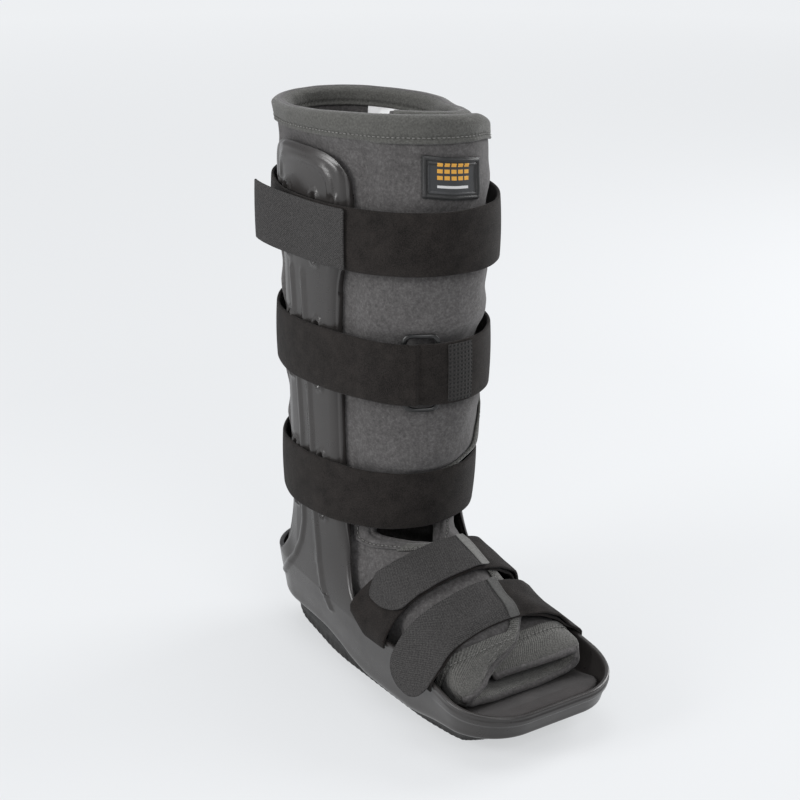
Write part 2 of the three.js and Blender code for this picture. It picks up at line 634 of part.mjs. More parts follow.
const PIECES = [
  ["outsole", outsole(), 0x3c3c3a],
  ["shell", shell(), 0x4c4c4b],
  ["footbed", footbed(), 0x4a4646],
  ["liner_foot", linerPart(FOOT_ROWS), 0x5e5c5c],
  ["liner_leg", linerPart(LEG_ROWS), 0x5e5c5c],
  ["collar_binding", collarBinding(), 0x73736c],
  ["outer_flap_binding", flapBinding("outer", 1, LEG_ROWS.slice(0, -2)), 0x73736c],
  ["inner_flap_binding", flapBinding("inner", -1, LEG_ROWS.slice(0, -2)), 0x73736c],
  ["toe_flap_binding", flapBinding("outer", 1, FOOT_ROWS.slice(4, 8)), 0x73736c],
  ["strap_top", legStrap(LEG_RINGS.top, TOP_STRAP_HEIGHT), 0x2c2a29],
  ["hook_tab_top", hookTab(), 0x484a4b],
  ["strap_middle", legStrap(LEG_RINGS.middle, MIDDLE_STRAP_HEIGHT), 0x2c2a29],
  ["strap_frame", strapFrame(), 0x1f1f1f],
  ["strap_lower", legStrap(LEG_RINGS.lower, LOWER_STRAP_HEIGHT), 0x2c2a29],
  ["foot_strap_upper", footStrap(FOOT_STRAPS.upper), 0x2c2a29],
  ["foot_tab_upper", footTab(FOOT_STRAPS.upper, 1), 0x484a4b],
  ["foot_strap_lower", footStrap(FOOT_STRAPS.lower), 0x2c2a29],
  ["foot_tab_lower", footTab(FOOT_STRAPS.lower, 0), 0x484a4b],
  ["patch", patch(), 0x1c1c1c],
  ["care_label", careLabel(), 0xe0e0de],
];

const boot = new THREE.Group();
for (const [name, shape, color] of PIECES) {
  const mesh = new THREE.Mesh(shape, new THREE.MeshStandardMaterial({ color, roughness: 0.8 }));
  mesh.name = name;
  boot.add(mesh);
}

// The boot stands on z = 0 with the middle of its bounding box over the origin.
const bounds = new THREE.Box3().setFromObject(boot);
const middle = bounds.getCenter(vec(0, 0, 0));
boot.position.set(-middle.x, -middle.y, -bounds.min.z);

export default boot;
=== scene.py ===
import math

import bpy
import numpy as np
from mathutils import Matrix, Vector


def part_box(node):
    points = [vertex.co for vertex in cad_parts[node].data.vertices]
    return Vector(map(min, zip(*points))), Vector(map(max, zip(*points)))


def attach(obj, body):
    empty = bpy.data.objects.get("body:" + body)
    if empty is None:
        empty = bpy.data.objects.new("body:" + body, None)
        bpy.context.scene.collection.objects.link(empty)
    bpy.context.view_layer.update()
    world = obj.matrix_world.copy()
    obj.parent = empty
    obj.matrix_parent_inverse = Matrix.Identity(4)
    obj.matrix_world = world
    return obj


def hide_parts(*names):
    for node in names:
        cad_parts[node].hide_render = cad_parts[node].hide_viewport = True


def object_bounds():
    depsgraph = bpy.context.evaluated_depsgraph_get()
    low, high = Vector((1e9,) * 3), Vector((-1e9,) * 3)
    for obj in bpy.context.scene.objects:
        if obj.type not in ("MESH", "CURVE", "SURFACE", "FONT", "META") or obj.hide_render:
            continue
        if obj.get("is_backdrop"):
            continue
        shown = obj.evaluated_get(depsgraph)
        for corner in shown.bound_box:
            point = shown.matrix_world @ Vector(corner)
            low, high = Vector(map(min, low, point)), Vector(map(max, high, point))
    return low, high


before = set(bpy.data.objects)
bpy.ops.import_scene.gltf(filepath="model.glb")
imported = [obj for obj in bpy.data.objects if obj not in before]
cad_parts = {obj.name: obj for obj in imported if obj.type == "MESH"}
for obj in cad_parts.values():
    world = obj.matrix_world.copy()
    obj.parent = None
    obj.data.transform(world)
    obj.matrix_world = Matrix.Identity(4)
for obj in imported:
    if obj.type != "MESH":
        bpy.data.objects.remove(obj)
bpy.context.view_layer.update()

# Camera and studio
# The boot stands on a plain pale floor under large soft lights. Lengths are millimetres from the
# middle of the sole on the floor, toe towards -Y, and put() turns them into the frame's metres.
shell_low, shell_high = (np.array(corner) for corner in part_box("shell"))
middle = np.array([(shell_low[0] + shell_high[0]) / 2, (shell_low[1] + shell_high[1]) / 2, 0.0])


def put(points):
    """Millimetres from the sole's middle to metres in the frame: scaled by 0.001 and moved."""
    return np.asarray(points, float) * 0.001 + middle


camera = bpy.data.objects.new("camera", bpy.data.cameras.new("camera"))
bpy.context.scene.collection.objects.link(camera)
bpy.context.scene.camera = camera
camera_turn = math.radians(-35.7360342)
camera_place = [-786.746, -1056.692, 698.1]
view = Vector((0.54794014, 0.76152827, -0.3461738))
right = Vector((math.cos(camera_turn), math.sin(camera_turn), 0.0))
turned = Matrix((right, right.cross(view), -view)).transposed()
camera.matrix_world = Matrix.Translation(Vector(put(camera_place))) @ turned.to_4x4()
camera.data.lens = 89.55
camera.data.sensor_width = 36.0
camera.data.clip_end = 20.0
bpy.context.scene.view_settings.view_transform = "Standard"

world = bpy.data.worlds.new("studio")
bpy.context.scene.world = world
world.use_nodes = True
sky = world.node_tree.nodes["Background"]
sky.inputs["Color"].default_value = (0.93, 0.95, 1, 1)
sky.inputs["Strength"].default_value = 0.42


def area_light(name, place, aim, size, power):
    """A square area light at a place in metres from the boot, turned so that it shines at a point."""
    light = bpy.data.objects.new(name, bpy.data.lights.new(name, "AREA"))
    light.data.size = size
    light.data.energy = power
    light.location = place
    light.rotation_euler = (Vector(aim) - Vector(place)).to_track_quat("-Z", "Y").to_euler()
    bpy.context.scene.collection.objects.link(light)


area_light("front_light", (-0.5, -1.7, 1.5), (0, 0, 0.2), 1.0, 17)
area_light("left_light", (-1.7, 0.35, 0.8), (0, 0, 0.2), 0.8, 22)
area_light("right_light", (1.5, -0.1, 0.9), (0, 0, 0.2), 0.9, 20)
area_light("top_light", (0.1, 0.3, 2.0), (0, 0, 0.2), 1.2, 12)


# Materials are small node trees. tree() starts one, wire() adds a node with its inputs, and the
# functions after them are the steps that several materials share.
def tree(name, **values):
    """A new material and its shader, with constants set on the shader's inputs."""
    material = bpy.data.materials.new(name)
    material.use_nodes = True
    shader = material.node_tree.nodes["Principled BSDF"]
    for key, value in values.items():
        shader.inputs[key.replace("_", " ")].default_value = value
    return material, shader


def wire(material, kind, inputs=None, **settings):
    """A node of the given kind. A value in inputs is a constant or another node's output."""
    node = material.node_tree.nodes.new("ShaderNode" + kind)
    for key, value in settings.items():
        setattr(node, key, value)
    for key, value in (inputs or {}).items():
        if isinstance(value, bpy.types.NodeSocket):
            material.node_tree.links.new(value, node.inputs[key])
        else:
            node.inputs[key].default_value = value
    return node


def grey(value, red=1.0, green=1.0, blue=1.0):
    """A linear colour from the 0 to 255 value of a screen colour, with a tint."""
    linear = (value / 255) ** 2.2
    return (linear * red, linear * green, linear * blue, 1)


def ramp(material, factor, stops):
    """A colour ramp over a factor. Each stop is a position and a colour."""
    node = wire(material, "ValToRGB", {"Fac": factor})
    while len(node.color_ramp.elements) < len(stops):
        node.color_ramp.elements.new(0.5)
    for element, (position, color) in zip(node.color_ramp.elements, stops):
        element.position = position
        element.color = color
    return node.outputs["Color"]


def link(material, output, node, name):
    """A link from an output to a node's input of that name."""
    material.node_tree.links.new(output, node.inputs[name])


def math_node(material, operation, *values):
    """The result of a math node on numbers or other nodes' outputs."""
    return wire(material, "Math", dict(enumerate(values)), operation=operation).outputs[0]


def noise(material, scale, detail=2.0, roughness=0.5):
    """Fractal noise over the object's own coordinates, with about scale lumps to the metre."""
    values = {"Vector": wire(material, "TexCoord").outputs["Object"], "Scale": scale}
    values.update({"Detail": detail, "Roughness": roughness})
    return wire(material, "TexNoise", values).outputs["Fac"]


def cloth_axes(material):
    """Distances in metres along and across a laid-out piece, from its UV map."""
    where = wire(material, "UVMap", uv_map="UVMap").outputs["UV"]
    parts = wire(material, "SeparateXYZ", {"Vector": where})
    return parts.outputs["X"], parts.outputs["Y"]


def ripple(material, distance, rate):
    """The sine of a distance in metres times a rate in radians to the metre."""
    return math_node(material, "SINE", math_node(material, "MULTIPLY", distance, rate))


def paint(material, shader, factor, *stops):
    """The base colour from a ramp over a factor."""
    link(material, ramp(material, factor, stops), shader, "Base Color")


def emboss(material, shader, height, strength, distance, invert=False):
    """Fine relief: normals leaned by a height of at most the given distance in metres."""
    values = {"Height": height, "Strength": strength, "Distance": distance}
    bump = wire(material, "Bump", values, invert=invert)
    link(material, bump.outputs["Normal"], shader, "Normal")


floor_mesh = bpy.data.meshes.new("floor")
floor_mesh.from_pydata([(-9, -9, 0), (9, -9, 0), (9, 9, 0), (-9, 9, 0)], [], [(0, 1, 2, 3)])
floor = bpy.data.objects.new("floor", floor_mesh)
bpy.context.scene.collection.objects.link(floor)
floor_paint, floor_shader = tree("floor_paint", Roughness=0.9)
floor_shader.inputs["Base Color"].default_value = (0.24, 0.245, 0.25, 1)
floor_shader.inputs["Emission Color"].default_value = (0.97, 0.985, 1, 1)
floor_shader.inputs["Specular IOR Level"].default_value = 0.0
floor_place = wire(floor_paint, "TexCoord").outputs["Object"]
from_middle = wire(floor_paint, "VectorMath", {0: floor_place}, operation="LENGTH")
glow_range = {"From Min": 0.7, "From Max": 3.0, "To Min": 0.565, "To Max": 0.765}
glow = wire(floor_paint, "MapRange", {"Value": from_middle.outputs["Value"], **glow_range})
link(floor_paint, glow.outputs["Result"], floor_shader, "Emission Strength")
floor_mesh.materials.append(floor_paint)
floor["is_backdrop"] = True

# Shell
# One moulding of grey glass-filled nylon: a tray with a rim and a heel cup, and two tall uprights
# with two ribs each, rolled edges and upright slots with raised rims for the leg straps.
FOOT_LENGTH, SIDE_HEIGHT, WALL, TOE_HALF, HEEL_HALF = 300.0, 54.0, 3.5, 66.8, 56.6
STRUT_TOP, STRUT_CENTRE, STRUT_DEPTH, STRUT_RADIUS, STRUT_CORNER = 392.0, 66.0, 68.0, 95.0, 30.0
STRUT_SPREAD = 7.4
STRAP_LEVELS = {"top": 336.0, "middle": 244.0, "lower": 144.0}
toe_y, toe_radius, heel_y, heel_radius = -108.0, 42.0, 100.0, 50.0
toe_x, heel_x = -(TOE_HALF - toe_radius), -(HEEL_HALF - heel_radius)
foot_side = np.array([
    # along, tread, edge, floor, rim
    [-0.5, 0.3, 0.33, 0.44, 0.68], [-0.42, 0.2, 0.31, 0.42, 0.73], [-0.3, 0.06, 0.24, 0.4, 0.87],
    [-0.16, 0, 0.12, 0.39, 0.99], [0, 0, 0.14, 0.39, 1], [0.07, 0, 0.22, 0.41, 1.02],
    [0.13, 0, 0.34, 0.45, 1.06], [0.2, 0.02, 0.44, 0.52, 1.12], [0.3, 0.13, 0.49, 0.56, 1.18],
    [0.42, 0.28, 0.52, 0.57, 1.27], [0.5, 0.36, 0.52, 0.57, 1.25],
])
strut_edges = np.array([
    # up, front, back
    [0.138, 1.1, 0.87], [0.16, 0.86, 0.83], [0.19, 0.7, 0.67], [0.24, 0.59, 0.56], [0.3, 0.53, 0.52],
    [0.45, 0.475, 0.51], [0.65, 0.475, 0.51], [0.75, 0.5, 0.51], [0.81, 0.58, 0.57], [0.87, 0.67, 0.67],
    [1.0, 0.67, 0.7],
])
tray_rows = np.array([
    # outer inset, outer share, inner inset, inner share
    [13, 0, 18, 0], [8.45, 0.04, 12.44, 0.03], [5.46, 0.13, 9.45, 0.12], [4.03, 0.34, 7.53, 0.32],
    [1.56, 0.7, 5.06, 0.66], [0, 1, 3.5, 1],
])


def follow(places, values, at):
    """A smooth curve through a table: cubic pieces whose slope at each row is the harmonic mean of
    the two slopes beside it, and flat where the values turn."""
    places, values, at = (np.asarray(v, float) for v in (places, values, at))
    secant = np.diff(values) / np.diff(places)
    slope = np.zeros_like(values)
    slope[0], slope[-1] = secant[0], secant[-1]
    product = secant[:-1] * secant[1:]
    total = secant[:-1] + secant[1:]
    slope[1:-1] = np.where(product > 0, 2 * product / np.where(total == 0, 1, total), 0)
    i = np.clip(np.searchsorted(places, at, side="right") - 1, 0, len(places) - 2)
    span = places[i + 1] - places[i]
    t = np.clip((at - places[i]) / span, 0, 1)
    return (
        (2 * t**3 - 3 * t**2 + 1) * values[i] + (t**3 - 2 * t**2 + t) * span * slope[i]
        + (3 * t**2 - 2 * t**3) * values[i + 1] + (t**3 - t**2) * span * slope[i + 1]
    )


def ease(x, low, high):
    """0 below low, 1 above high, and the smooth cubic step between them."""
    t = np.clip((x - low) / (high - low), 0, 1)
    return t * t * (3 - 2 * t)


def foot_height(y, column):
    """Height of the tread, lower edge, floor or rim at a y, from the side view's table."""
    return SIDE_HEIGHT * follow(foot_side[:, 0], foot_side[:, column], np.asarray(y) / FOOT_LENGTH)


def half_width(y, inset):
    """Half the tray's width at a y, some distance in from the rim: a toe arc, a straight side, and
    a heel arc."""
    y = np.asarray(y, float)
    toe = np.sqrt(np.maximum(0, (toe_radius - inset) ** 2 - (y - toe_y) ** 2)) - toe_x
    heel = np.sqrt(np.maximum(0, (heel_radius - inset) ** 2 - (y - heel_y) ** 2)) - heel_x
    side = TOE_HALF + (HEEL_HALF - TOE_HALF) * (y - toe_y) / (heel_y - toe_y) - inset
    return np.where(y < toe_y, toe, np.where(y > heel_y, heel, side))


def strut_front(z):
    """The upright's front edge at a height: its centre less a share of its depth from the table."""
    return STRUT_CENTRE - STRUT_DEPTH * follow(strut_edges[:, 0], strut_edges[:, 1], z / STRUT_TOP)


def strut_back(z):
    """The upright's back edge at a height: its centre and a share of its depth from the table."""
    return STRUT_CENTRE + STRUT_DEPTH * follow(strut_edges[:, 0], strut_edges[:, 2], z / STRUT_TOP)


def strut_half(z):
    """Half the distance between the uprights' faces: it grows evenly with height."""
    return HEEL_HALF + STRUT_SPREAD * (np.asarray(z, float) - SIDE_HEIGHT) / (STRUT_TOP - SIDE_HEIGHT)


def strut_face(y, z, join):
    """Outer face of the left upright: an arc across the depth whose half width grows with height,
    blended from the tray's outline above the join. Gives x and the inward direction."""
    swing = (y - STRUT_CENTRE) / STRUT_RADIUS
    curved = strut_half(z) * np.sqrt(np.maximum(1 - swing**2, 0.05))
    share = ease(z, join, join + 55.0)
    x = half_width(y, 0) * (1 - share) + curved * share
    inward = np.stack([curved / strut_half(z) ** 2, -swing / STRUT_RADIUS, np.zeros_like(x)], -1)
    return x, inward / np.linalg.norm(inward, axis=-1, keepdims=True)


def new_mesh(name, points, faces, material, uv=None, wrap=0.0):
    """A mesh object from points in millimetres and lists of corner numbers. A face that crosses the
    seam of a closed strip has its first coordinate carried on by the strip's length."""
    mesh = bpy.data.meshes.new(name)
    faces = [np.asarray(group) for group in faces if len(group)]
    loops = np.concatenate([group.ravel() for group in faces])
    sizes = np.concatenate([np.full(len(group), group.shape[1]) for group in faces])
    mesh.vertices.add(len(points))
    mesh.vertices.foreach_set("co", put(points).astype(np.float32).ravel())
    mesh.loops.add(len(loops))
    mesh.loops.foreach_set("vertex_index", loops.astype(np.int32))
    mesh.polygons.add(len(sizes))
    mesh.polygons.foreach_set("loop_start", (np.cumsum(sizes) - sizes).astype(np.int32))
    mesh.polygons.foreach_set("use_smooth", np.full(len(sizes), True))
    mesh.update(calc_edges=True)
    if uv is not None:
        corner = np.asarray(uv, float)[loops] * 0.001
        if wrap:
            start = np.repeat(np.cumsum(sizes) - sizes, sizes)
            ahead = corner[:, 0] - corner[start, 0]
            corner[:, 0] -= np.round(ahead / (wrap * 0.001)) * wrap * 0.001
        layer = mesh.uv_layers.new(name="UVMap")
        layer.data.foreach_set("uv", corner.astype(np.float32).ravel())
    mesh.validate()
    mesh.materials.append(material)
    piece = bpy.data.objects.new(name, mesh)
    bpy.context.scene.collection.objects.link(piece)
    return piece


def grid_quads(rows, columns, closed=False):
    """Corner numbers of a grid's faces, row by row, closed round its columns if asked."""
    last = columns if closed else columns - 1
    r, c = np.meshgrid(np.arange(rows - 1), np.arange(last), indexing="ij")
    here, after, below = r * columns + c, r * columns + (c + 1) % columns, columns
    return np.stack([here, after, after + below, here + below], -1).reshape(-1, 4)


def outward(points, groups):
    """Faces without repeated corners, turned so that they close a positive volume: the sum over
    their triangles of a corner times the cross product of the other two."""
    four, three = [], []
    for group in groups:
        same = group == np.roll(group, -1, axis=1)
        four.append(group[~same.any(1)])
        three += [np.delete(group[same[:, k]], k, axis=1) for k in range(4)]
    faces = [np.concatenate(four), np.concatenate(three)]
    fans = [g[:, [0, i, i + 1]] for g in faces for i in range(1, g.shape[1] - 1)]
    a, b, c = (points[np.concatenate(fans)[:, i]] for i in range(3))
    if (a * np.cross(b, c)).sum() < 0:
        faces = [group[:, ::-1] for group in faces]
    return faces


def thick_mesh(name, outer, inner, quads, material, uv=None, wrap=0.0, roll=0.5, steps=5):
    """A closed piece between an outer sheet and its inner partner. Each free edge gets a rounded
    bead: points swing from the outer to the inner edge on half an ellipse that stands out along the
    sheet by roll times the thickness."""
    outer, inner = np.asarray(outer, float), np.asarray(inner, float)
    quads = np.asarray(quads)
    n = len(outer)
    edges = np.concatenate([quads[:, [i, (i + 1) % 4]] for i in range(4)])
    owner = np.tile(np.arange(len(quads)), 4)
    real = edges[:, 0] != edges[:, 1]
    edges, owner = edges[real], owner[real]
    key = edges[:, 0] * n + edges[:, 1]
    free = ~np.isin(key, edges[:, 1] * n + edges[:, 0])
    rim, owner = edges[free], owner[free]
    points = [outer, inner]
    where = None if uv is None else [np.asarray(uv, float)] * 2
    groups = [quads, quads[:, ::-1] + n]
    if len(rim):
        used = np.unique(rim)
        slot = np.full(n, -1)
        slot[used] = np.arange(len(used))
        out = np.zeros((len(used), 3))
        run = np.zeros((len(used), 3))
        centre = outer[quads].sum(1)[owner] / 4
        for end in (0, 1):
            np.add.at(out, slot[rim[:, end]], outer[rim].mean(1) - centre)
            np.add.at(run, slot[rim[:, end]], outer[rim[:, 1]] - outer[rim[:, 0]])
        across = outer[used] - inner[used]
        thick = np.linalg.norm(across, axis=1, keepdims=True)
        run /= np.maximum(np.linalg.norm(run, axis=1, keepdims=True), 1e-9)
        up = across / np.maximum(thick, 1e-9)
        out -= (out * run).sum(1, keepdims=True) * run
        out -= (out * up).sum(1, keepdims=True) * up
        out /= np.maximum(np.linalg.norm(out, axis=1, keepdims=True), 1e-9)
        rows = []
        for k in range(1, steps):
            turn = math.pi * k / steps
            rows.append((outer[used] + inner[used]) / 2 + across / 2 * math.cos(turn)
                        + out * thick * roll * math.sin(turn))
        points += rows
        if where is not None:
            where += [where[0][used]] * len(rows)
        middle_rows = [slot[rim] + 2 * n + k * len(used) for k in range(steps - 1)]
        level = [rim] + middle_rows + [rim + n]
        for a, b in zip(level[:-1], level[1:]):
            groups.append(np.stack([a[:, 1], a[:, 0], b[:, 0], b[:, 1]], 1))
    points = np.concatenate(points)
    where = None if where is None else np.concatenate(where)
    return new_mesh(name, points, outward(points, groups), material, where, wrap)


side_lean = math.atan2(heel_x - toe_x, heel_y - toe_y)
side_lean += math.asin((toe_radius - heel_radius) / math.hypot(heel_x - toe_x, heel_y - toe_y))


def outline_columns(x, y, radius, turn):
    """Outline places from the centre and radius of an arc and turns in radians from the toe: the
    centre, the radius and the outward direction of each, so that a smaller radius lies further in."""
    one = np.ones(np.shape(turn))
    return np.stack([x * one, y * one, radius * one, -np.sin(turn), -np.cos(turn)], -1)


def side_columns(y):
    """Outline places on the left side or heel at given y. Along the side the arc's centre and radius
    change evenly from the toe's to the heel's."""
    lift = math.sin(side_lean)
    low, high = toe_y + toe_radius * lift, heel_y + heel_radius * lift
    share = (y - low) / (high - low)
    on_side = y <= high
    cx = np.where(on_side, toe_x + (heel_x - toe_x) * share, heel_x)
    cy = np.where(on_side, toe_y + (heel_y - toe_y) * share, heel_y)
    radius = np.where(on_side, toe_radius + (heel_radius - toe_radius) * share, heel_radius)
    turn = np.arccos(np.clip(-(y - heel_y) / heel_radius, -1, 1))
    return outline_columns(cx, cy, radius, np.where(on_side, math.pi / 2 + side_lean, turn))


join_front, join_back = strut_front(SIDE_HEIGHT), strut_back(SIDE_HEIGHT)
swings = np.cos(math.pi * np.linspace(0, 1, 97))
strut_shares = 0.5 - 0.5 * np.sign(swings) * np.abs(swings) ** 0.8
heel_turn = math.acos(-(join_back - heel_y) / heel_radius)
stretches = [
    outline_columns(np.linspace(0, toe_x, 12), toe_y, toe_radius, np.zeros(12))[:-1],
    outline_columns(toe_x, toe_y, toe_radius, np.linspace(0, math.pi / 2 + side_lean, 30)),
    side_columns(np.linspace(toe_y + 3, join_front, 60)[:-1]),
    side_columns(join_front + (join_back - join_front) * strut_shares),
    outline_columns(heel_x, heel_y, heel_radius, np.linspace(heel_turn, math.pi, 22))[1:],
    outline_columns(0, heel_y, heel_radius, np.array([math.pi])),
]
left = np.concatenate(stretches)
strut_start = sum(len(stretch) for stretch in stretches[:3])
ring_size = 2 * len(left) - 2


def foot_ring(inset, height):
    """A closed ring of points round the outline, some distance in from the rim, left half first and
    then its mirror image. height gives z from each y."""
    x, y, radius, nx, ny = left.T
    points = np.stack([x + (radius - inset) * nx, y + (radius - inset) * ny, height(y + radius * ny)], -1)
    mirror = points[1:-1][::-1] * [-1, 1, 1]
    return np.concatenate([points, mirror])


def across_quads(size):
    """Corner numbers of faces that fill a mirrored ring of that size, from its left to its right."""
    i = np.arange(size // 2)
    return np.stack([i + 1, i, (size - i) % size, (size - i - 1) % size], 1)


# Each rib's middle line as heights and y, from the bottom up.
RIB_TOP, RIB_HALF, RIB_HEIGHT, SLOT_HALF = 306.0, 3.0, 1.7, 22.5
back_rib = np.array([
    [52, 114], [62, 103], [74, 92], [89, 83], [107, 78], [123, 78], [179, 76], [291, 82], [300, 83]])
front_rib = np.array([[49, 43], [64, 53], [82, 58], [105, 61], [128, 63], [183, 63], [294, 67.5], [300, 68]])


def relief(y, z):
    """How far the moulding stands out of the uprights' smooth face: two ribs with round backs, and a
    raised rim and a hollow round each strap slot, from the distance to the slot's middle line."""
    rise = np.zeros_like(y)
    for rib in (back_rib, front_rib):
        line = np.interp(z, rib[:, 0], rib[:, 1])
        lean = np.interp(z, rib[:, 0], np.gradient(rib[:, 1], rib[:, 0]))
        away = np.abs(y - line) / np.sqrt(1 + lean**2)
        away = np.hypot(away, np.maximum(rib[0, 0] - z, 0))
        body = np.clip(1 - (away / RIB_HALF) ** 2, 0, 1) ** 0.75
        rise = np.maximum(rise, RIB_HEIGHT * body * (1 - ease(z, RIB_TOP - 8, RIB_TOP)))
    for level in STRAP_LEVELS.values():
        for place in (52.0, 86.0):
            apart = np.hypot(np.maximum(np.abs(z - level) - SLOT_HALF, 0), y - place)
            rise = rise + 2.0 * np.exp(-(((apart - 3.9) / 1.2) ** 2)) - 1.6 * (1 - ease(apart, 1.6, 2.8))
    return rise


strut_rows = 150
EDGE_TURN, FLANGE, HEM_STEP = 2.6, 4.8, 1.1
tray_levels = np.linspace(0, 1, 56)
row_place = np.linspace(0, 1, len(tray_rows))
outer_inset, outer_share, inner_inset, inner_share = (
    follow(row_place, column, tray_levels) for column in tray_rows.T)
outer, inner = [], []
for k, level in enumerate(tray_levels):
    shape = foot_ring(outer_inset[k], lambda y: foot_height(y, 2) + outer_share[k] * (
        foot_height(y, 4) - foot_height(y, 2)))
    bump = relief(shape[:, 1], shape[:, 2]) * (shape[:, 1] > 0) * (shape[:, 1] < 125)
    shape[:, 0] += np.sign(shape[:, 0]) * bump
    bead = 0.9 * (ease(level, 0.76, 0.8) - ease(level, 0.9, 0.93)) * (1 - ease(shape[:, 1], -108, -80))
    shape[:, :2] *= 1 + (bead / np.maximum(np.hypot(shape[:, 0], shape[:, 1]), 1))[:, None]
    outer.append(shape)
    inner.append(foot_ring(inner_inset[k], lambda y: foot_height(y, 3) + inner_share[k] * (
        foot_height(y, 4) - foot_height(y, 3))))
share = np.broadcast_to(strut_shares, (strut_rows, len(strut_shares)))
join = foot_height(join_front + (join_back - join_front) * share, 4)
corner = STRUT_CORNER * np.cbrt(np.maximum(1 - np.abs(2 * share - 1) ** 3, 0))
up = (np.arange(1, strut_rows + 1) / strut_rows)[:, None] ** 1.08
z = join + (STRUT_TOP - STRUT_CORNER + corner - join) * up
y = strut_front(z) + (strut_back(z) - strut_front(z)) * share
x, inward = strut_face(y, z, join)
corner_base = STRUT_TOP - STRUT_CORNER
round_top = 1 - np.cbrt(np.abs(2 * share - 1) ** 3 + np.clip((z - corner_base) / STRUT_CORNER, 0, 1) ** 3)
from_top = np.where(z > corner_base, STRUT_CORNER * round_top, 99)
to_edge = np.minimum(np.minimum(y - strut_front(z), strut_back(z) - y), from_top)
turned = EDGE_TURN * (1 - np.sqrt(1 - np.clip(1 - to_edge / 4.5, 0, 1) ** 2))
front_edge = np.clip(1 - (y - strut_front(z)) / 9.0, 0, 1)
flange = FLANGE * (1 - np.sqrt(1 - front_edge**2)) * ease(z, 90, 130)
swept = 0.14 * np.maximum(y - 90, 0)
rolled = (turned + flange + swept) * ease(z, join, join + 20)
groove = HEM_STEP * (ease(to_edge, 6.5, 8.0) - 1.35 * ease(to_edge, 10.0, 12.0)) * ease(z, 300, 335)
face = np.stack([-x, y, z], -1)
rise = relief(y, z) - rolled + groove
front_face = face - inward * rise[..., None]
thick = WALL - 1.2 * (1 - ease(to_edge, 2.5, 6)) * ease(z, join, join + 20)
back_face = face + inward * thick[..., None]
quads = [across_quads(ring_size), grid_quads(len(tray_levels), ring_size, True)]
rim_row = (len(tray_levels) - 1) * ring_size
columns = np.arange(len(strut_shares))
strut_size = strut_rows * len(strut_shares)
for side in (-1, 1):
    start = len(tray_levels) * ring_size + (0 if side < 0 else strut_size)
    on_rim = strut_start + columns if side < 0 else (ring_size - strut_start - columns) % ring_size
    base = rim_row + on_rim
    index = np.concatenate([base[None], start + np.arange(strut_size).reshape(strut_rows, -1)])
    made = np.stack([index[:-1, :-1], index[:-1, 1:], index[1:, 1:], index[1:, :-1]], -1).reshape(-1, 4)
    quads.append(made if side < 0 else made[:, ::-1])
    outer.append((front_face * [-side, 1, 1]).reshape(-1, 3))
    inner.append((back_face * [-side, 1, 1]).reshape(-1, 3))

plastic, shader = tree("shell_plastic", IOR=1.5)
cloudy = noise(plastic, 9.0, 4.0)
paint(plastic, shader, cloudy, (0.3, grey(45, 1.04, 0.95, 0.91)), (0.7, grey(53, 1.04, 0.95, 0.91)))
scuff = math_node(plastic, "MULTIPLY", noise(plastic, 60.0, 6.0, 0.7), 0.55)
gloss = ramp(plastic, scuff, [(0.15, (0.24, 0.24, 0.24, 1)), (0.45, (0.40, 0.40, 0.40, 1))])
link(plastic, gloss, shader, "Roughness")
emboss(plastic, shader, noise(plastic, 900.0, 3.0), 0.18, 0.0003)
outer, inner, quads = (np.concatenate(group) for group in (outer, inner, quads))
shell = thick_mesh("boot_shell", outer, inner, quads, plastic, roll=0.3)
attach(shell, "root")
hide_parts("shell")

# Outsole
# A dark rubber tread under the shell's floor, curved up at the toe and heel, with fine teeth along
# its lower edge.
TREAD_COUNT, TEETH_RATE = 700, 0.36


def fine_ring(inset, heights):
    """The outline's left half spaced evenly by length and mirrored. heights gives z from each y, and
    inset may be a number or an array over the half."""
    x, y, radius, nx, ny = left.T
    length = np.concatenate([[0], np.cumsum(np.hypot(np.diff(x + radius * nx), np.diff(y + radius * ny)))])
    at = np.linspace(0, length[-1], TREAD_COUNT)
    x, y, radius, nx, ny = (np.interp(at, length, v) for v in (x, y, radius, nx, ny))
    points = np.stack([x + (radius - inset) * nx, y + (radius - inset) * ny, heights(y + radius * ny)], -1)
    points[[0, -1], 0] = 0
    return np.concatenate([points, points[1:-1][::-1] * [-1, 1, 1]])


def solid_mesh(name, rings, material):
    """A closed piece from a stack of mirrored rings, with its first and last ring filled."""
    size = len(rings[0])
    across = across_quads(size)
    quads = [across, grid_quads(len(rings), size, True), across[:, ::-1] + (len(rings) - 1) * size]
    points = np.concatenate(rings)
    return new_mesh(name, points, outward(points, [np.concatenate(quads)]), material)


teeth = np.abs((np.arange(TREAD_COUNT) * TEETH_RATE) % 1.0 - 0.5) * 2
rubber, shader = tree("outsole_rubber", Roughness=0.78)
dust = noise(rubber, 140.0, 5.0)
paint(rubber, shader, dust, (0.35, grey(38)), (0.7, grey(56, 1, 0.99, 0.96)))
emboss(rubber, shader, dust, 0.35, 0.0004)
rings = []
for share, inset, bite in ((0, 17.5, 0), (0, 16.2, 1.4), (0.1, 15.2, 1.5), (0.3, 14.9, 0.7), (0.42, 15.2, 0),
                           (0.5, 14.2, 0), (0.8, 13.7, 0), (1, 13.5, 0)):
    rings.append(fine_ring(inset + bite * teeth, lambda y: foot_height(y, 1) + share * (
        foot_height(y, 2) - 0.35 - foot_height(y, 1))))
outsole = solid_mesh("boot_outsole", rings, rubber)
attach(outsole, "root")
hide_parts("outsole")

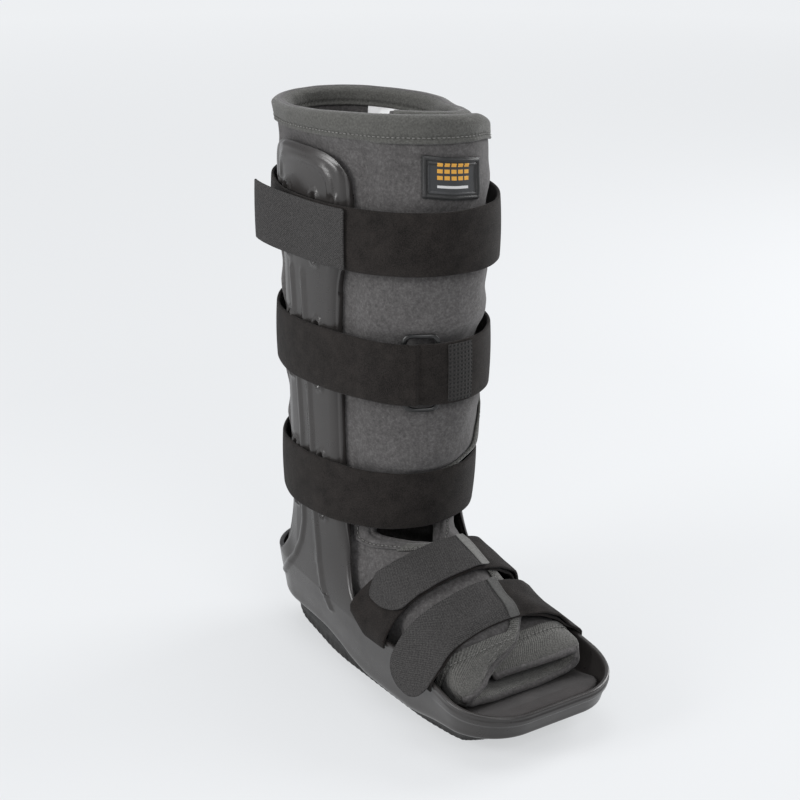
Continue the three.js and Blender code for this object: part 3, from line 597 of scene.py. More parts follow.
# Footbed
# An insole of closed foam that lies on the shell's floor, cut square with a soft top edge. Ahead of
# the liner it rises towards the rim and reaches further out to the wall.
foam, shader = tree("footbed_foam", Roughness=0.92, Specular_IOR_Level=0.2, Sheen_Weight=0.08)
coord = wire(foam, "TexCoord").outputs["Object"]
cells = wire(foam, "TexVoronoi", {"Vector": coord, "Scale": 900.0}).outputs["Distance"]
cloudy = noise(foam, 55.0, 6.0, 0.65)
paint(foam, shader, cloudy, (0.3, grey(44, 1.03, 0.94, 0.92)), (0.72, grey(59, 1.04, 0.94, 0.92)))
emboss(foam, shader, cells, 0.35, 0.0003)
BED_THICK, TOE_RISE, TOE_REACH = 4.0, 5.0, 3.6
rings = []
for height, inset in ((0, 18.4), (1.0, 14.5), (2.6, 12.3), (3.5, 12.0), (3.9, 12.5), (4.0, 13.4),
                      (4.0, 16), (4.0, 24)):
    ring = fine_ring(inset, lambda y: foot_height(y, 3) + 0.35 + height)
    ahead = 1 - ease(ring[:, 1], -134, -106)
    away = ring[:, :2] - np.array([0, -100.0])
    away /= np.maximum(np.linalg.norm(away, axis=1, keepdims=True), 1)
    ring[:, 2] += TOE_RISE * ahead * height / BED_THICK
    ring[:, :2] += TOE_REACH * ahead[:, None] * away
    rings.append(ring)
footbed = solid_mesh("boot_footbed", rings, foam)
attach(footbed, "root")
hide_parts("footbed")

# Liner
# One wrap of laminated foam about 7 mm thick with brushed grey cloth on both sides. It closes with
# an outer flap over an inner flap, leaves the ankle's front open, and its toe end is folded down.
LINER_TOP, LINER_HALF, LINER_WALL, OVER_BED, LAP_GAP = 410.0, 62.0, 7.0, 5.05, 5.8
COLLAR_LIFT, COLLAR_DIP, CREASE_HEIGHT, SWELL = 12, 8, 38, 2.0
liner_table = np.array([
    # front y, front z, back y, back z, half, leg, square, chest, outer, inner, wall, bulge
    [-0.375, 0.1, -0.36, 0, 0.93, 0, 3.4, 2.2, -40, -24, 0.8, 0],
    [-0.325, 0.126, -0.26, 0, 0.94, 0, 3.4, 2.2, 8, -28, 0.82, 0],
    [-0.255, 0.15, -0.16, 0, 0.95, 0, 3.4, 2.1, 30, -34, 0.85, 0],
    [-0.175, 0.186, -0.06, 0, 0.95, 0, 3.4, 2.1, 36, -34, 0.9, 0],
    [-0.09, 0.213, 0.055, 0, 0.95, 0, 3.2, 2.1, 4, -14, 0.93, 0],
    [-0.03, 0.227, 0.17, 0, 0.94, 0.1, 3, 2.1, -24, 8, 0.95, 0],
    [0.003, 0.238, 0.29, 0, 0.93, 0.3, 2.8, 2.1, -38, 18, 0.95, 0],
    [0.01, 0.247, 0.385, 0.012, 0.9, 0.5, 2.6, 2.2, -44, 26, 0.95, 0],
    [0.007, 0.256, 0.437, 0.035, 0.86, 0.7, 2.5, 2.2, -46, 32, 0.95, 0],
    [0, 0.265, 0.463, 0.075, 0.82, 0.9, 2.4, 2.2, -46, 34, 0.95, 0],
    [-0.007, 0.276, 0.474, 0.125, 0.79, 1, 2.3, 2.2, -43, 34, 0.97, 0],
    [-0.012, 0.291, 0.472, 0.18, 0.8, 1, 2.2, 2.1, -34, 31, 1, 0],
    [-0.022, 0.313, 0.473, 0.245, 0.82, 1, 2.1, 2.1, -20, 25, 1, 0],
    [-0.038, 0.35, 0.476, 0.31, 0.85, 1, 2.1, 2.1, 8, 6, 1, 0],
    [-0.062, 0.395, 0.487, 0.375, 0.88, 1, 2, 2.1, 40, -14, 1, 0.2],
    [-0.075, 0.48, 0.497, 0.47, 0.91, 1, 2, 2.05, 64, -28, 1, 0.4],
    [-0.058, 0.57, 0.49, 0.57, 0.9, 1, 2, 2.05, 70, -36, 1, 0.2],
    [-0.094, 0.67, 0.508, 0.67, 0.925, 1, 2, 2.1, 71, -40, 1, 0.5],
    [-0.09, 0.81, 0.51, 0.81, 0.93, 1, 2, 2.1, 71, -40, 1, 0.3],
    [-0.096, 0.93, 0.515, 0.93, 0.935, 1, 2, 2.2, 66, -40, 1, 0.4],
    [-0.096, 1, 0.518, 1, 0.99, 1, 2, 2, 58, -40, 1, 0.3],
])
last_row = len(liner_table) - 1


def liner_value(column, row):
    """A value of the liner's table at a row between its rows, from the smooth curve."""
    return follow(np.arange(last_row + 1.0), liner_table[:, column], row)


def liner_height(y, share):
    """A share of the way from the insole under a y to the liner's top."""
    bed = foot_height(y, 3) + OVER_BED
    return bed + (LINER_TOP - bed) * share


def smaller(a, b, blend):
    """The smaller of two values, with a rounded change from one to the other."""
    h = np.clip(0.5 + 0.5 * (b - a) / blend, 0, 1)
    return b * (1 - h) + a * h - blend * h * (1 - h)


def rounded(value, power):
    """A cosine or sine raised to a power with its sign kept, as a rounded oval needs."""
    return np.sign(value) * np.abs(value) ** power


def room_at(y, z):
    """Half of the room for the liner inside the tray and between the uprights. Past the shell's
    edges the limit opens out at a slope, so that the cloth swells over them."""
    floor, rim = foot_height(y, 3), foot_height(y, 4)
    share = (z - floor) / (rim - floor)
    tray = half_width(y, follow(tray_rows[:, 3], tray_rows[:, 2], np.clip(share, 0, 1)) + 0.7)
    tray = tray + 0.9 * np.maximum(z - rim, 0)
    beside = np.maximum(np.maximum(strut_front(z) - 9 - y, y - strut_back(z) - 9), 0)
    x, inward = strut_face(y, z, rim)
    between = x - 7.25 / inward[..., 0] + beside / 2 + 1.2 * np.maximum(z - STRUT_TOP, 0)
    past = np.maximum(np.maximum(join_front + 10 - y, y - join_back + 10), 0)
    return np.where(share < 1, tray, np.minimum(between + 1.5 * past, 200))


def liner_point(row, angle, share, off=0.0):
    """A point of the liner at a row of its table and an angle in degrees from its front, at a share
    of its wall in from the outer face, and a distance off that face. Each section is a rounded
    oval in a sloping plane: cos and sin of the angle raised to powers below one. The inner flap is
    drawn in under the outer one, waves and swells beside the straps are added, the collar is raised
    in front, and the toe end is pressed down above its crease and moved back."""
    row, angle, share, off = np.broadcast_arrays(*(np.asarray(v, float) for v in (row, angle, share, off)))
    front_y, back_y = FOOT_LENGTH * liner_value(0, row), FOOT_LENGTH * liner_value(2, row)
    front_z, back_z = liner_height(front_y, liner_value(1, row)), liner_height(back_y, liner_value(3, row))
    cy, cz = (front_y + back_y) / 2, (front_z + back_z) / 2
    ry, rz = (front_y - back_y) / 2, (front_z - back_z) / 2
    reach = np.hypot(ry, rz)
    room = half_width(cy, 9.45)
    half = liner_value(4, row) * (room + (LINER_HALF - room) * liner_value(5, row))
    wall = liner_value(10, row) * LINER_WALL
    outer = liner_value(8, row)
    turn = np.radians(angle)
    sloped = 0.6 * (np.sin(turn) > 0) * (1 - ease(row, 5, 8))
    power = 2 / np.where(np.cos(turn) < 0, liner_value(6, row), liner_value(7, row) - sloped)
    ahead, aside = rounded(np.cos(turn), power), rounded(np.sin(turn), power)
    height = cz + rz * ahead
    under = 1 - ease(angle, outer + 4, outer + 49)
    raised = ease(angle, 330, 360 + outer)
    swell = 0.0
    for level in STRAP_LEVELS.values():
        swell = swell + SWELL * np.exp(-(((np.abs(height - level) - 31) / 9) ** 2))
    lumps = (np.sin(angle * 0.061 + row * 1.9) + np.sin(angle * 0.11 - row * 2.7 + 1)
             + 0.6 * np.sin(angle * 0.23 + row * 4.1) + 0.4 * np.sin(angle * 0.37 - row * 6.3))
    inset = share * wall - off + under * (wall + LAP_GAP - 0.8 * ease(row, last_row - 1, last_row))
    inset = inset - raised * liner_value(11, row) * LINER_WALL - swell * ease(row, 10, 13) - 0.35 * lumps
    y = cy + ry * ahead * (reach - inset) / reach
    z = cz + rz * ahead * (reach - inset) / reach
    wide = (half - inset) * aside
    limit = np.maximum(room_at(y, z) - np.maximum(inset, 0), 1)
    x = np.sign(wide) * smaller(np.abs(wide), limit, 4.0)
    lift = COLLAR_LIFT * (0.5 + 0.5 * np.cos(turn + 0.52)) ** 2 - COLLAR_DIP * ease(angle, 378, 412)
    z = z + lift * ease(row, last_row - 1.2, last_row)
    fold = (1 - ease(y, -113, -88)) * ease(np.cos(turn), -0.45, 0.1)
    upper = ease(angle, 180, 200)
    crease = CREASE_HEIGHT + 0.05 * (x + 22) + upper * (9 * ease(x, -48, -14) - 2.5)
    crease = crease + (1 - share) * wall + off
    z = z - fold * np.maximum(z - crease, 0) * 0.92
    y = y + (5.0 + 7.0 * (1 - ease(x, -45, 40))) * (1 - upper * (1 - ease(x, -50, -10))) * fold**3
    return np.stack([x, y, z], -1)


def lay_out(points):
    """Distances in millimetres along and across a grid of points, from the mean spacing of its
    columns and rows."""
    along = np.linalg.norm(np.diff(points, axis=1), axis=2).mean(0)
    across = np.linalg.norm(np.diff(points, axis=0), axis=2).mean(1)
    u, v = np.meshgrid(np.concatenate([[0], np.cumsum(along)]), np.concatenate([[0], np.cumsum(across)]))
    return np.stack([u, v], -1).reshape(-1, 2)


def cloth_mesh(name, outer, inner, material, closed=False, roll=0.5, steps=6):
    """A sheet of cloth between two grids of points, with rounded free edges and laid-out UVs."""
    uv = lay_out(outer)
    wrap = uv[:, 0].max() + np.linalg.norm(outer[:, -1] - outer[:, 0], axis=1).mean() if closed else 0.0
    quads = grid_quads(*outer.shape[:2], closed)
    faces = outer.reshape(-1, 3), inner.reshape(-1, 3)
    return thick_mesh(name, *faces, quads, material, uv, wrap, roll, steps)


brushed, shader = tree("liner_cloth", Roughness=0.95, Specular_IOR_Level=0.25, Sheen_Weight=0.12,
                       Sheen_Roughness=0.5)
fleck, shade = noise(brushed, 620.0, 4.0, 0.75), noise(brushed, 300.0, 4.0, 0.6)
mixed = math_node(brushed, "MULTIPLY_ADD", shade, 0.6, fleck)
mixed = math_node(brushed, "MULTIPLY_ADD", noise(brushed, 18.0, 3.0), 0.35, mixed)
mixed = math_node(brushed, "MULTIPLY", mixed, 0.5)
paint(brushed, shader, mixed, (0.36, grey(62, 1, 0.95, 0.94)), (0.48, grey(77, 1, 0.95, 0.94)),
      (0.60, grey(94, 1, 0.96, 0.95)))
emboss(brushed, shader, mixed, 0.6, 0.0007)

liner_rows = np.concatenate([
    np.linspace(0.06, 5, 90)[:-1], np.linspace(5, 11, 60)[:-1], np.linspace(11, 19.9, 110)])
across = np.linspace(0, 1, 170)
first_angle = liner_value(9, liner_rows)[:, None]
last_angle = 360 + liner_value(8, liner_rows)[:, None]
angles = first_angle + (last_angle - first_angle) * across
outer = liner_point(liner_rows[:, None], angles, 0.0)
inner = liner_point(liner_rows[:, None], angles, 1.0)
liner = cloth_mesh("boot_liner", outer, inner, brushed, steps=8, roll=0.4)
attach(liner, "root")
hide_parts("liner_foot", "liner_leg")

# Bindings
# Tapes are folded over the liner's free edges and sewn through with a row of stitches, which
# puckers them: brushed tape round the collar and down both flaps, grey-green twill round the toe's
# two edges, and the liner's own cloth beside the ankle.
twill, shader = tree("twill_tape", Roughness=0.88, Sheen_Weight=0.15)
along, across = cloth_axes(twill)
slant = math_node(twill, "MULTIPLY_ADD", across, 0.22, along)
mixed = math_node(twill, "MULTIPLY_ADD", ripple(twill, slant, 4200.0), 0.14, noise(twill, 1100.0, 3.0))
paint(twill, shader, mixed, (0.3, grey(56, 1, 0.98, 0.9)), (0.72, grey(100, 1, 0.98, 0.91)))
emboss(twill, shader, mixed, 0.6, 0.0006)
brushed_tape, shader = tree("brushed_tape", Roughness=0.92, Specular_IOR_Level=0.25, Sheen_Weight=0.2,
                            Sheen_Roughness=0.4)
fuzz = noise(brushed_tape, 700.0, 4.0, 0.7)
paint(brushed_tape, shader, fuzz, (0.3, grey(66, 1, 0.99, 0.91)), (0.7, grey(92, 1, 0.99, 0.92)))
emboss(brushed_tape, shader, fuzz, 0.7, 0.0007)
thread, shader = tree("thread", Roughness=0.7)
paint(thread, shader, noise(thread, 900.0), (0.3, grey(88, 1, 0.99, 0.93)), (0.7, grey(122, 1, 0.99, 0.93)))


def stitches(name, path, lift, material, pitch=3.4, length=2.5, width=0.75):
    """A row of stitches along a path: each is a capsule, a ring of points swept along the stitch
    with a half-ellipse taper, lying on the surface along the given outward directions."""
    run = np.concatenate([[0], np.cumsum(np.linalg.norm(np.diff(path, axis=0), axis=1))])
    at = np.arange(pitch / 2, run[-1] - pitch / 2, pitch)
    place, ahead, out = (np.stack([np.interp(where, run, values[:, i]) for i in range(3)], -1)
                         for where, values in ((at, path), (at + 0.5, path), (at, lift)))
    ahead -= place
    ahead /= np.linalg.norm(ahead, axis=1, keepdims=True)
    out -= (out * ahead).sum(1, keepdims=True) * ahead
    out /= np.linalg.norm(out, axis=1, keepdims=True)
    side = np.cross(ahead, out)
    share = np.linspace(-1, 1, 7)
    taper = np.sqrt(np.maximum(1 - np.abs(share) ** 2.6, 0.02))
    turn = np.arange(8) * math.pi / 4
    along = (share * length / 2)[:, None] * np.ones(8)
    wide = taper[:, None] * np.cos(turn) * width / 2
    high = taper[:, None] * np.sin(turn) * width * 0.4 + 0.1
    grid = place[:, None, None] + ahead[:, None, None] * along[..., None]
    grid = grid + side[:, None, None] * wide[..., None] + out[:, None, None] * high[..., None]
    quads = grid_quads(7, 8, True)[:, ::-1]
    ends = np.stack([np.arange(8)[::-1], np.arange(8) + 48])
    each = np.arange(len(at))[:, None, None] * 56
    faces = [(quads + each).reshape(-1, 4), (ends[:, ::-1] + each).reshape(-1, 8)]
    piece = new_mesh(name, grid.reshape(-1, 3), faces, material)
    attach(piece, "root")
    return piece


TAPE_WALL, TAPE_STAND, TAPE_BEND, SEAM_IN, SEAM_DEPTH = 1.5, 0.9, 4.3, 2.4, 1.3


def tape(name, place, length, node, width=13.0, seam=True, cloth=None):
    """A tape folded over an edge: a U profile of back and depth values swept along the edge. place
    gives a point from a place on the path, a distance back from the edge, a share of the liner's
    wall and a distance off its face. A shallow trough marks the row of stitches."""
    radius, seam_back = TAPE_BEND, width - SEAM_IN
    bend = np.linspace(0, math.pi, 13)[1:-1]
    flat = np.linspace(width, radius, 9)
    back = np.concatenate([flat, radius - radius * np.sin(bend), flat[::-1]])
    share = np.concatenate([np.zeros(9), (1 - np.cos(bend)) / 2, np.ones(9)])
    path = np.linspace(0, 1, length)
    pull = SEAM_DEPTH * np.exp(-((back - seam_back) ** 2))[:, None] * (1 + 0.35 * np.sin(path * length * 1.5))
    sink = (1 - 2 * share)[:, None]
    over = place(path, back[:, None], share[:, None], sink * (TAPE_STAND + TAPE_WALL - pull) + 0 * path)
    below = place(path, back[:, None], share[:, None], sink * 0.7 + 0 * path)
    piece = cloth_mesh(name, over, below, cloth or twill, roll=0.5, steps=4)
    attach(piece, "root")
    if node:
        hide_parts(node)
    if seam:
        line = place(path, seam_back, 0.0, 2.15)
        higher = place(path, seam_back, 0.0, 4.15)
        stitches(name + "_stitches", line, higher - line, thread)


collar_span = (LINER_TOP - liner_height(0, 0)) * 0.07


def collar_place(path, back, share, off):
    """A point of the collar: a share of the way round, some distance down from the liner's top."""
    row = last_row - back / collar_span
    first, last = liner_value(9, row) + 1.5, 360 + liner_value(8, row) - 1.5
    return liner_point(row, first + (last - first) * path, share, off)


def flap_place(column, side, low, high):
    """The places of a flap's tape, whose edge is an angle in the liner's table between two rows."""
    def place(path, back, share, off):
        """A point of the flap: up along its edge, and back from it by a distance turned to angle."""
        row = low + (high - low) * path
        half = liner_value(4, row) * LINER_HALF
        end = liner_value(column, row) + (360 if side > 0 else 0)
        return liner_point(row, end - side * back * 180 / (math.pi * half), share, off)
    return place


def toe_place(path, back, share, off):
    """A point of the toe end: a share of the way round, some distance back from the front."""
    row = back / 14.0
    first, last = liner_value(9, row) + 2, 360 + liner_value(8, row) - 2
    return liner_point(row, first + (last - first) * path, share, off)


tape("collar_tape", collar_place, 560, "collar_binding", width=14.0, cloth=brushed_tape)
tape("outer_flap_tape", flap_place(8, 1, 11.0, 18.9), 420, "outer_flap_binding", cloth=brushed_tape)
tape("inner_flap_tape", flap_place(9, -1, 11.0, 18.9), 420, "inner_flap_binding", seam=False,
     cloth=brushed_tape)
tape("toe_flap_tape", flap_place(8, 1, 0.5, 5.0), 260, "toe_flap_binding", width=14.0)
tape("toe_front_tape", toe_place, 420, None, width=15.0)
tape("ankle_outer_tape", flap_place(8, 1, 5.0, 11.0), 240, None, width=12.0, cloth=brushed)
tape("ankle_inner_tape", flap_place(9, -1, 4.0, 11.0), 260, None, width=12.0, cloth=brushed)

# Leg straps
# Three closed straps of black-brown brushed loop webbing, 42 mm wide, round the liner and over the
# uprights. The middle one turns back through a flat ring, and a dark mesh strip is sewn on it.
STRAP_WIDTH, STRAP_THICK, OFF_LINER, OFF_UPRIGHT = 42.0, 2.4, 2.8, 1.75
loop, shader = tree("loop_webbing", Roughness=0.95, Specular_IOR_Level=0.15, Sheen_Weight=0.05,
                    Sheen_Roughness=0.5)
fleck, shade = noise(loop, 1500.0, 3.0, 0.7), noise(loop, 90.0, 5.0, 0.6)
mixed = math_node(loop, "MULTIPLY_ADD", shade, 0.5, fleck)
paint(loop, shader, mixed, (0.55, grey(22, 1.02, 0.87, 0.79)), (0.95, grey(48, 1.02, 0.87, 0.8)))
emboss(loop, shader, mixed, 0.6, 0.0005)


def strap_ring(height, chest, heel, slack_front=0.0, slack_right=0.0, lean=0.0):
    """A strap's path round the leg: an oval through the liner's front and back and the uprights'
    faces. Gives a point from an angle in degrees from the front, a height and a distance off."""
    rows = np.linspace(10, 20, 2001)
    heights = liner_height(FOOT_LENGTH * liner_value(0, rows), liner_value(1, rows))
    fronts, backs = [], []
    for edge in (-STRAP_WIDTH / 2, STRAP_WIDTH / 2):
        row = np.interp(height + edge, heights, rows)
        fronts.append(FOOT_LENGTH * liner_value(0, row) - liner_value(11, row) * LINER_WALL)
        backs.append(FOOT_LENGTH * liner_value(2, row))
    front = min(fronts) - OFF_LINER - slack_front
    back = max(backs) + OFF_LINER
    side = float(strut_half(height + STRAP_WIDTH / 2)) + OFF_UPRIGHT

    def ring(angle, z, off):
        """A point of the strap: a rounded oval, drawn in to the front or back by its own half."""
        turn = np.radians(angle)
        power = 2 / np.where(np.cos(turn) > 0, chest, heel)
        ahead, aside = rounded(np.cos(turn), power), rounded(np.sin(turn), power)
        leaning = lean * np.cos(turn) * (height + STRAP_WIDTH / 2 - z) / STRAP_WIDTH
        along = np.where(np.cos(turn) > 0, STRUT_CENTRE - front - leaning, back - STRUT_CENTRE)
        across = side + off + np.where(np.sin(turn) > 0, slack_right, 0)
        return np.stack([across * aside, STRUT_CENTRE - (along + off) * ahead, z + 0 * turn], -1)
    return ring


def cut_size(grid):
    """Width and length in metres of the flat strip that a grid of points is bent from: the mean
    length of its columns and of its rows."""
    long = np.linalg.norm(np.diff(grid, axis=1), axis=2).sum(1).mean()
    wide = np.linalg.norm(np.diff(grid, axis=0), axis=2).sum(0).mean()
    return float(wide) / 1000, float(long) / 1000


rings_of = {name: (STRAP_LEVELS[name], strap_ring(STRAP_LEVELS[name], **shape)) for name, shape in (
    ("top", {"chest": 2.25, "heel": 1.9, "slack_front": 3, "slack_right": 3}),
    ("middle", {"chest": 2.12, "heel": 1.93, "slack_front": 3.3}),
    ("lower", {"chest": 2.1, "heel": 2.0, "slack_front": 0.35, "lean": 8}),
)}
angles = np.linspace(-180, 180, 401)[:-1]
turns = np.radians(angles)
edges = np.linspace(-1, 1, 15)[:, None]
for name, (height, ring) in rings_of.items():
    wave = 0.5 * np.sin(turns * 5 + height) + 0.35 * np.sin(turns * 11 + height)
    level = height + edges * STRAP_WIDTH / 2 + 0.5 * np.sin(turns * 3 + height)
    off = 0.7 * (1 - edges**2) - 0.3 + wave * edges * 0.6
    if name == "middle":
        off = off + 2.4 * ease(angles, -66, -40) * (1 - ease(angles, -26.6, -25.4))
    outer, inner = ring(angles, level, STRAP_THICK + off), ring(angles, level, off)
    strap = cloth_mesh(name + "_leg_strap", outer, inner, loop, closed=True)
    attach(strap, "root")
    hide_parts("strap_" + name)
    around = ring(np.append(angles, 180), height + edges * STRAP_WIDTH / 2, STRAP_THICK / 2 + 0 * edges)
    cut_size(around)

mesh_tape, shader = tree("mesh_tape", Roughness=0.85)
MESH_RATE = 2094.0
across_holes, up_holes = (ripple(mesh_tape, axis, MESH_RATE) for axis in cloth_axes(mesh_tape))
# The mesh's openings are painted near-black, darker than the strap under them: the strap's own dark colour
# with painted shade in the openings.
shaded_holes = math_node(mesh_tape, "MINIMUM", across_holes, up_holes)
paint(mesh_tape, shader, shaded_holes, (0.0, grey(40, 1, 0.9, 0.84)), (0.25, grey(9)))
emboss(mesh_tape, shader, shaded_holes, 0.8, 0.0006, invert=True)
height, ring = rings_of["middle"]
strip_turn = np.linspace(-8.0, 7.0, 40)
level = height + edges * (STRAP_WIDTH / 2 - 0.6)
off = STRAP_THICK + 0.7 * (1 - edges**2) + 0.2
strip = cloth_mesh("mesh_strip", ring(strip_turn, level, off + 0.7), ring(strip_turn, level, off), mesh_tape)
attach(strip, "root")
cut_size(ring(strip_turn, level, off))

# Hook tab and ring
# The hook tab that closes the top strap is woven dark grey tape with a sewn end. The middle strap's
# ring is a flat black plastic frame.
woven, shader = tree("hook_tape", Roughness=0.8, Specular_IOR_Level=0.3)
WEAVE_RATE = 3900.0
warp, weft = (ripple(woven, axis, WEAVE_RATE) for axis in cloth_axes(woven))
dots = math_node(woven, "MULTIPLY", warp, weft)
mixed = math_node(woven, "MULTIPLY_ADD", dots, 0.2, noise(woven, 1100.0, 4.0))
paint(woven, shader, mixed, (0.3, grey(34, 1.02, 0.97, 0.95)), (0.75, grey(68, 1.02, 0.97, 0.95)))
emboss(woven, shader, mixed, 0.5, 0.0004)
height, ring = rings_of["top"]
TAB_HALF, FREE_LIFT, FREE_RISE = 20.5, 12, 4
angles = np.linspace(-114, -64, 110)
free = ease(-angles, 85, 114)
level = height + edges * TAB_HALF + FREE_RISE * free
off = STRAP_THICK + 1.1 + FREE_LIFT * free + 0.4 * (1 - edges**2)
tab = cloth_mesh("top_hook_tab", ring(angles, level, off + 1.6), ring(angles, level, off), woven)
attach(tab, "root")
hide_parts("hook_tab_top")
cut_size(ring(angles, level, off + 0.8))

moulded, shader = tree("ring_plastic", Roughness=0.35)
paint(moulded, shader, noise(moulded, 500.0), (0.3, grey(24)), (0.7, grey(34)))
height, ring = rings_of["middle"]
loop_turn = np.linspace(0, 2 * math.pi, 161)[:-1]
rod_turn = np.linspace(0, 2 * math.pi, 17)[:-1]
FRAME_HALF_WIDTH, FRAME_HALF_HEIGHT, FRAME_TURN = 12.5 - 1.3, 28 - 1.3, -23
grow = 1.5 * np.cos(rod_turn)[:, None]
to_degrees = 180 / (math.pi * float(strut_half(height)))
wire_angle = FRAME_TURN + rounded(np.cos(loop_turn), 0.35) * (FRAME_HALF_WIDTH + grow) * to_degrees
wire_level = height + rounded(np.sin(loop_turn), 0.35) * (FRAME_HALF_HEIGHT + grow)
points = ring(wire_angle, wire_level, -1.6 + 1.2 * np.sin(rod_turn)[:, None]).reshape(-1, 3)
r, c = np.meshgrid(np.arange(16), np.arange(160), indexing="ij")
below, after = (r + 1) % 16 * 160, (c + 1) % 160
quads = np.stack([r * 160 + c, r * 160 + after, below + after, below + c], -1).reshape(-1, 4)
frame_ring = new_mesh("strap_ring", points, outward(points, [quads]), moulded)
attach(frame_ring, "root")
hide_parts("strap_frame")

# Foot straps
# Two straps of the same webbing from outside the rim on the left over the instep to the right, where
# they double back. Each is closed by a woven hook tab with a rounded end and a paler sewn hem.
# The return starts at a column of the strap's grid, counted from the left.
RETURN_START, FOOT_LIFT, RIM_GAP, RIM_RISE, END_ROUND = 100, 3.9, 0.35, 6, 17


def foot_strap_point(top, side, angle, off):
    """A point over the instep: the liner's row goes from top to side with the angle's square."""
    share = np.minimum(1, (angle / 80.0) ** 2)
    return liner_point(top + (side - top) * share, angle + 360, 0.0, FOOT_LIFT + off)


strap_angles = np.linspace(-80, 80, 150)


def foot_strap_grid(spec, off, drops=(0.0, 4.5, 9.0), flare=0.0):
    """A strap as a grid of points: over the instep by angle, then down outside the rim at each end
    by the given drops from 6 mm above it. The bends at the ends are smoothed by moving each point
    half of the way to the mean of its neighbours, 60 times."""
    total = len(strap_angles) + 2 * (3 + len(drops))
    from_end = np.minimum(np.arange(total), np.arange(total)[::-1])[1:-1, None] - 4.0
    near_end = ease(from_end, -3, 2) * (1 - ease(from_end, 12, 26))
    cross = np.linspace(0, 1, 13)[:, None]
    top = spec[0] + (spec[1] - spec[0]) * cross
    side = spec[2] + (spec[3] - spec[2]) * cross
    path = foot_strap_point(top, side, strap_angles, off)
    ends = []
    for end in (0, -1):
        p = path[:, end]
        half = half_width(p[:, 1], 0) + RIM_GAP + off
        rim = foot_height(p[:, 1], 4) + 0.6 * np.maximum(0, p[:, 1] - join_front)
        order = []
        for drop in drops:
            outside = np.sign(p[:, 0]) * (half + flare * drop)
            order.append(np.stack([outside, p[:, 1], rim + RIM_RISE - drop], -1))
        for t in (0.75, 0.5, 0.25):
            order.insert(0, p * (1 - t) + order[-len(drops)] * t + [0, 0, 2.0 * math.sin(math.pi * t)])
        ends.append(np.stack(order if end else order[::-1], 1))
    grid = np.concatenate([ends[0], path, ends[1]], 1)
    for count in range(60):
        grid[:, 1:-1] += 0.5 * ((grid[:, :-2] + grid[:, 2:]) / 2 - grid[:, 1:-1]) * near_end
    return grid


def run_of(grid):
    """Distance along a grid's middle row at each of its columns."""
    return np.concatenate([[0], np.cumsum(np.linalg.norm(np.diff(grid[len(grid) // 2], axis=0), axis=1))])


def on_strap(grid, run, cross):
    """Points of a strap's grid at distances along it and shares across it, from linear interpolation
    along each row and then between two rows."""
    length = run_of(grid)
    rows = np.array([np.stack([np.interp(run, length, row[:, i]) for i in range(3)], -1) for row in grid])
    place = cross * (len(grid) - 1)
    low = np.minimum(place.astype(int), len(grid) - 2)
    part = (place - low)[..., None]
    column = np.arange(len(run))
    return rows[low, column] * (1 - part) + rows[low + 1, column] * part


for name, spec, start, hem_angle, pale in (("upper", (3.0, 4.2, 3.2, 4.75), -76.0, 15.0, 118),
                                           ("lower", (1.3, 2.5, 0.9, 2.6), None, 9.0, 80)):
    swell = 2.6 * np.pad(np.sin(math.pi * np.clip((strap_angles - 16) / 64, 0, 1)), 6)
    out = foot_strap_grid(spec, STRAP_THICK + 1) - foot_strap_grid(spec, STRAP_THICK)
    strap = cloth_mesh(name + "_foot_strap", foot_strap_grid(spec, STRAP_THICK) + out * swell[:, None],
                       foot_strap_grid(spec, 0.0) + out * swell[:, None], loop)
    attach(strap, "root")
    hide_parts("foot_strap_" + name)
    cut_size(foot_strap_grid(spec, STRAP_THICK / 2))
    over, under = foot_strap_grid(spec, 0.3), foot_strap_grid(spec, -1.5)
    back = cloth_mesh(name + "_foot_return", over[:, RETURN_START:], under[:, RETURN_START:], loop)
    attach(back, "root")
    cut_size(foot_strap_grid(spec, -0.6)[:, RETURN_START:])
    drops = (0.0, 4.5, 9.0, 12.0, 15.0, 18.0)
    over = foot_strap_grid(spec, STRAP_THICK + 2.8, drops, 0.4)
    under = foot_strap_grid(spec, STRAP_THICK + 1.2, drops, 0.4)
    on_instep = run_of(over)[len(drops) + 3:][:len(strap_angles)]
    first = 0.0 if start is None else np.interp(start, strap_angles, on_instep)
    hem_run = np.interp(hem_angle, strap_angles, on_instep)
    run = np.linspace(first, hem_run, 140)
    gone = np.minimum(1, (run - first) / END_ROUND + 0.02)
    cross = 0.5 + (np.linspace(0, 1, 15)[:, None] - 0.5) * np.sqrt(1 - (1 - gone) ** 2)
    share = run_of(under)[-1] / run_of(over)[-1]
    cut = on_strap(under, run * share, cross)
    tab = cloth_mesh(name + "_foot_tab", on_strap(over, run, cross), cut, woven)
    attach(tab, "root")
    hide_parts("foot_tab_" + name)
    cells = np.cross(np.diff(cut, axis=0)[:, :-1], np.diff(cut, axis=1)[:-1])
    cut_size(cut)
    hem_tape, shader = tree(name + "_hem_tape", Roughness=0.85)
    fuzz = noise(hem_tape, 900.0, 4.0)
    paint(hem_tape, shader, fuzz, (0.3, grey(pale * 0.8, 1, 0.99, 0.95)), (0.7, grey(pale, 1, 0.99, 0.95)))
    emboss(hem_tape, shader, fuzz, 0.5, 0.0004)
    run = np.linspace(hem_run - 5.0, hem_run + 1.2, 12)
    cross = np.linspace(0.0, 1, 15)[:, None] + 0 * run
    high = foot_strap_grid(spec, STRAP_THICK + 3.7, drops, 0.4)
    hem = cloth_mesh(name + "_foot_hem", on_strap(high, run, cross), on_strap(over, run, cross), hem_tape)
    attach(hem, "root")

# Patch and care label
# The patch is moulded black rubber with a raised double frame round a slate field, with a plain
# pattern of orange squares and a pale bar. The care label is a folded tag of pale satin tape.
rubber_patch, shader = tree("patch_rubber", Roughness=0.5)
x_in, y_in = cloth_axes(rubber_patch)


def both(first, second):
    """The product of two values: 1 only where both are 1."""
    return math_node(rubber_patch, "MULTIPLY", first, second)


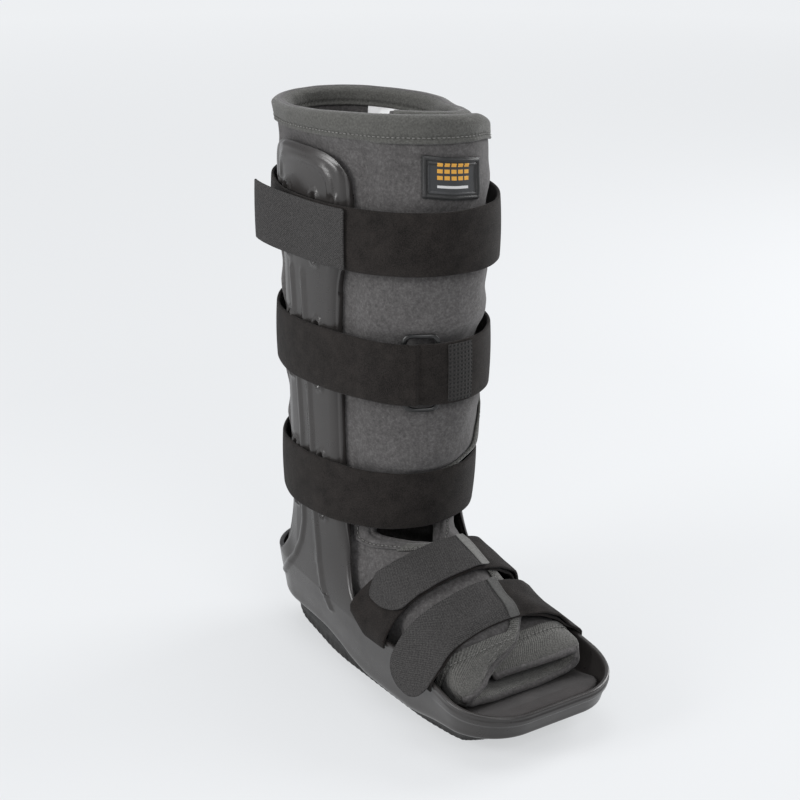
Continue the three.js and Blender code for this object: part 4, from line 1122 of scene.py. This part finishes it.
def band(value, low, high):
    """1 where a value lies between two limits, and 0 elsewhere."""
    above = math_node(rubber_patch, "GREATER_THAN", value, low)
    return both(above, math_node(rubber_patch, "LESS_THAN", value, high))


def cell(value, pitch):
    """How far a value is along its cell of that pitch, from 0 to 1."""
    return math_node(rubber_patch, "FRACT", math_node(rubber_patch, "DIVIDE", value, pitch))


def over(factor, below, colour):
    """A colour laid over another where the factor is 1."""
    return wire(rubber_patch, "MixRGB", {"Fac": factor, "Color1": below, "Color2": colour}).outputs[0]


patch_angles = np.linspace(337, 375, 121)
patch_rows = np.linspace(18.62, 19.28, 61)[:, None] - 0.13 * (patch_angles - 337) / 38
base = liner_point(patch_rows, patch_angles, 0.0, 0.5)
u, v = lay_out(base).reshape(61, 121, 2).transpose(2, 0, 1)
wide, tall = u.max(), v.max()
edge = np.minimum(np.minimum(u, wide - u), np.minimum(v, tall - v))
raise_up = 1.5 + 0.7 * ease(edge, 0.4, 1.0) - 0.9 * ease(edge, 2.2, 2.7)
raise_up = raise_up + 0.6 * ease(edge, 3.4, 3.8) - 0.6 * ease(edge, 4.5, 4.9)
FRAME = 4.7
inside = both(*(band(at, FRAME / 1000, (size - FRAME) / 1000) for at, size in ((x_in, wide), (y_in, tall))))
square = both(band(cell(x_in, 0.0052), 0.12, 0.88), band(cell(y_in, 0.0045), 0.2, 0.8))
orange = both(square, both(band(y_in, 0.0135, 0.027), band(x_in, 0.0104, 0.0364)))
bar = both(band(y_in, 0.0088, 0.0106), band(x_in, 0.011, (wide - 10) / 1000))
grain = noise(rubber_patch, 700.0, 3.0)
black = ramp(rubber_patch, grain, [(0.3, grey(24)), (0.7, grey(34))])
slate = over(inside, black, grey(44, 0.95, 1, 1.08))
link(rubber_patch, over(bar, over(orange, slate, grey(205, 1, 0.5, 0.06)), grey(190)), shader, "Base Color")
height = math_node(rubber_patch, "ADD", grain, math_node(rubber_patch, "ADD", orange, bar))
emboss(rubber_patch, shader, height, 0.5, 0.0003)
face = liner_point(patch_rows, patch_angles, 0.0, 0.5 + raise_up)
patch = cloth_mesh("front_patch", face, base, rubber_patch, roll=0.3)
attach(patch, "root")
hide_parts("patch")

satin, shader = tree("label_satin", Roughness=0.45, Sheen_Weight=0.2)
where = wire(satin, "UVMap", uv_map="UVMap").outputs["UV"]
weave = wire(satin, "TexWave", {"Vector": where, "Scale": 900.0, "Distortion": 0.5}).outputs["Fac"]
paint(satin, shader, weave, (0.2, grey(244)), (0.8, grey(252)))
label_rows, label_angles = np.linspace(19.1, 19.5, 30)[:, None], np.linspace(116, 137, 50)
curl = 0.5 * np.sin(label_angles * 0.6) * (1 - np.linspace(0, 1, 30)[:, None])
label = cloth_mesh("care_tag", liner_point(label_rows, label_angles, 1.0, -1.6 + curl),
                   liner_point(label_rows, label_angles, 1.0, -0.8 + curl), satin)
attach(label, "root")
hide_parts("care_label")

low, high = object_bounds()
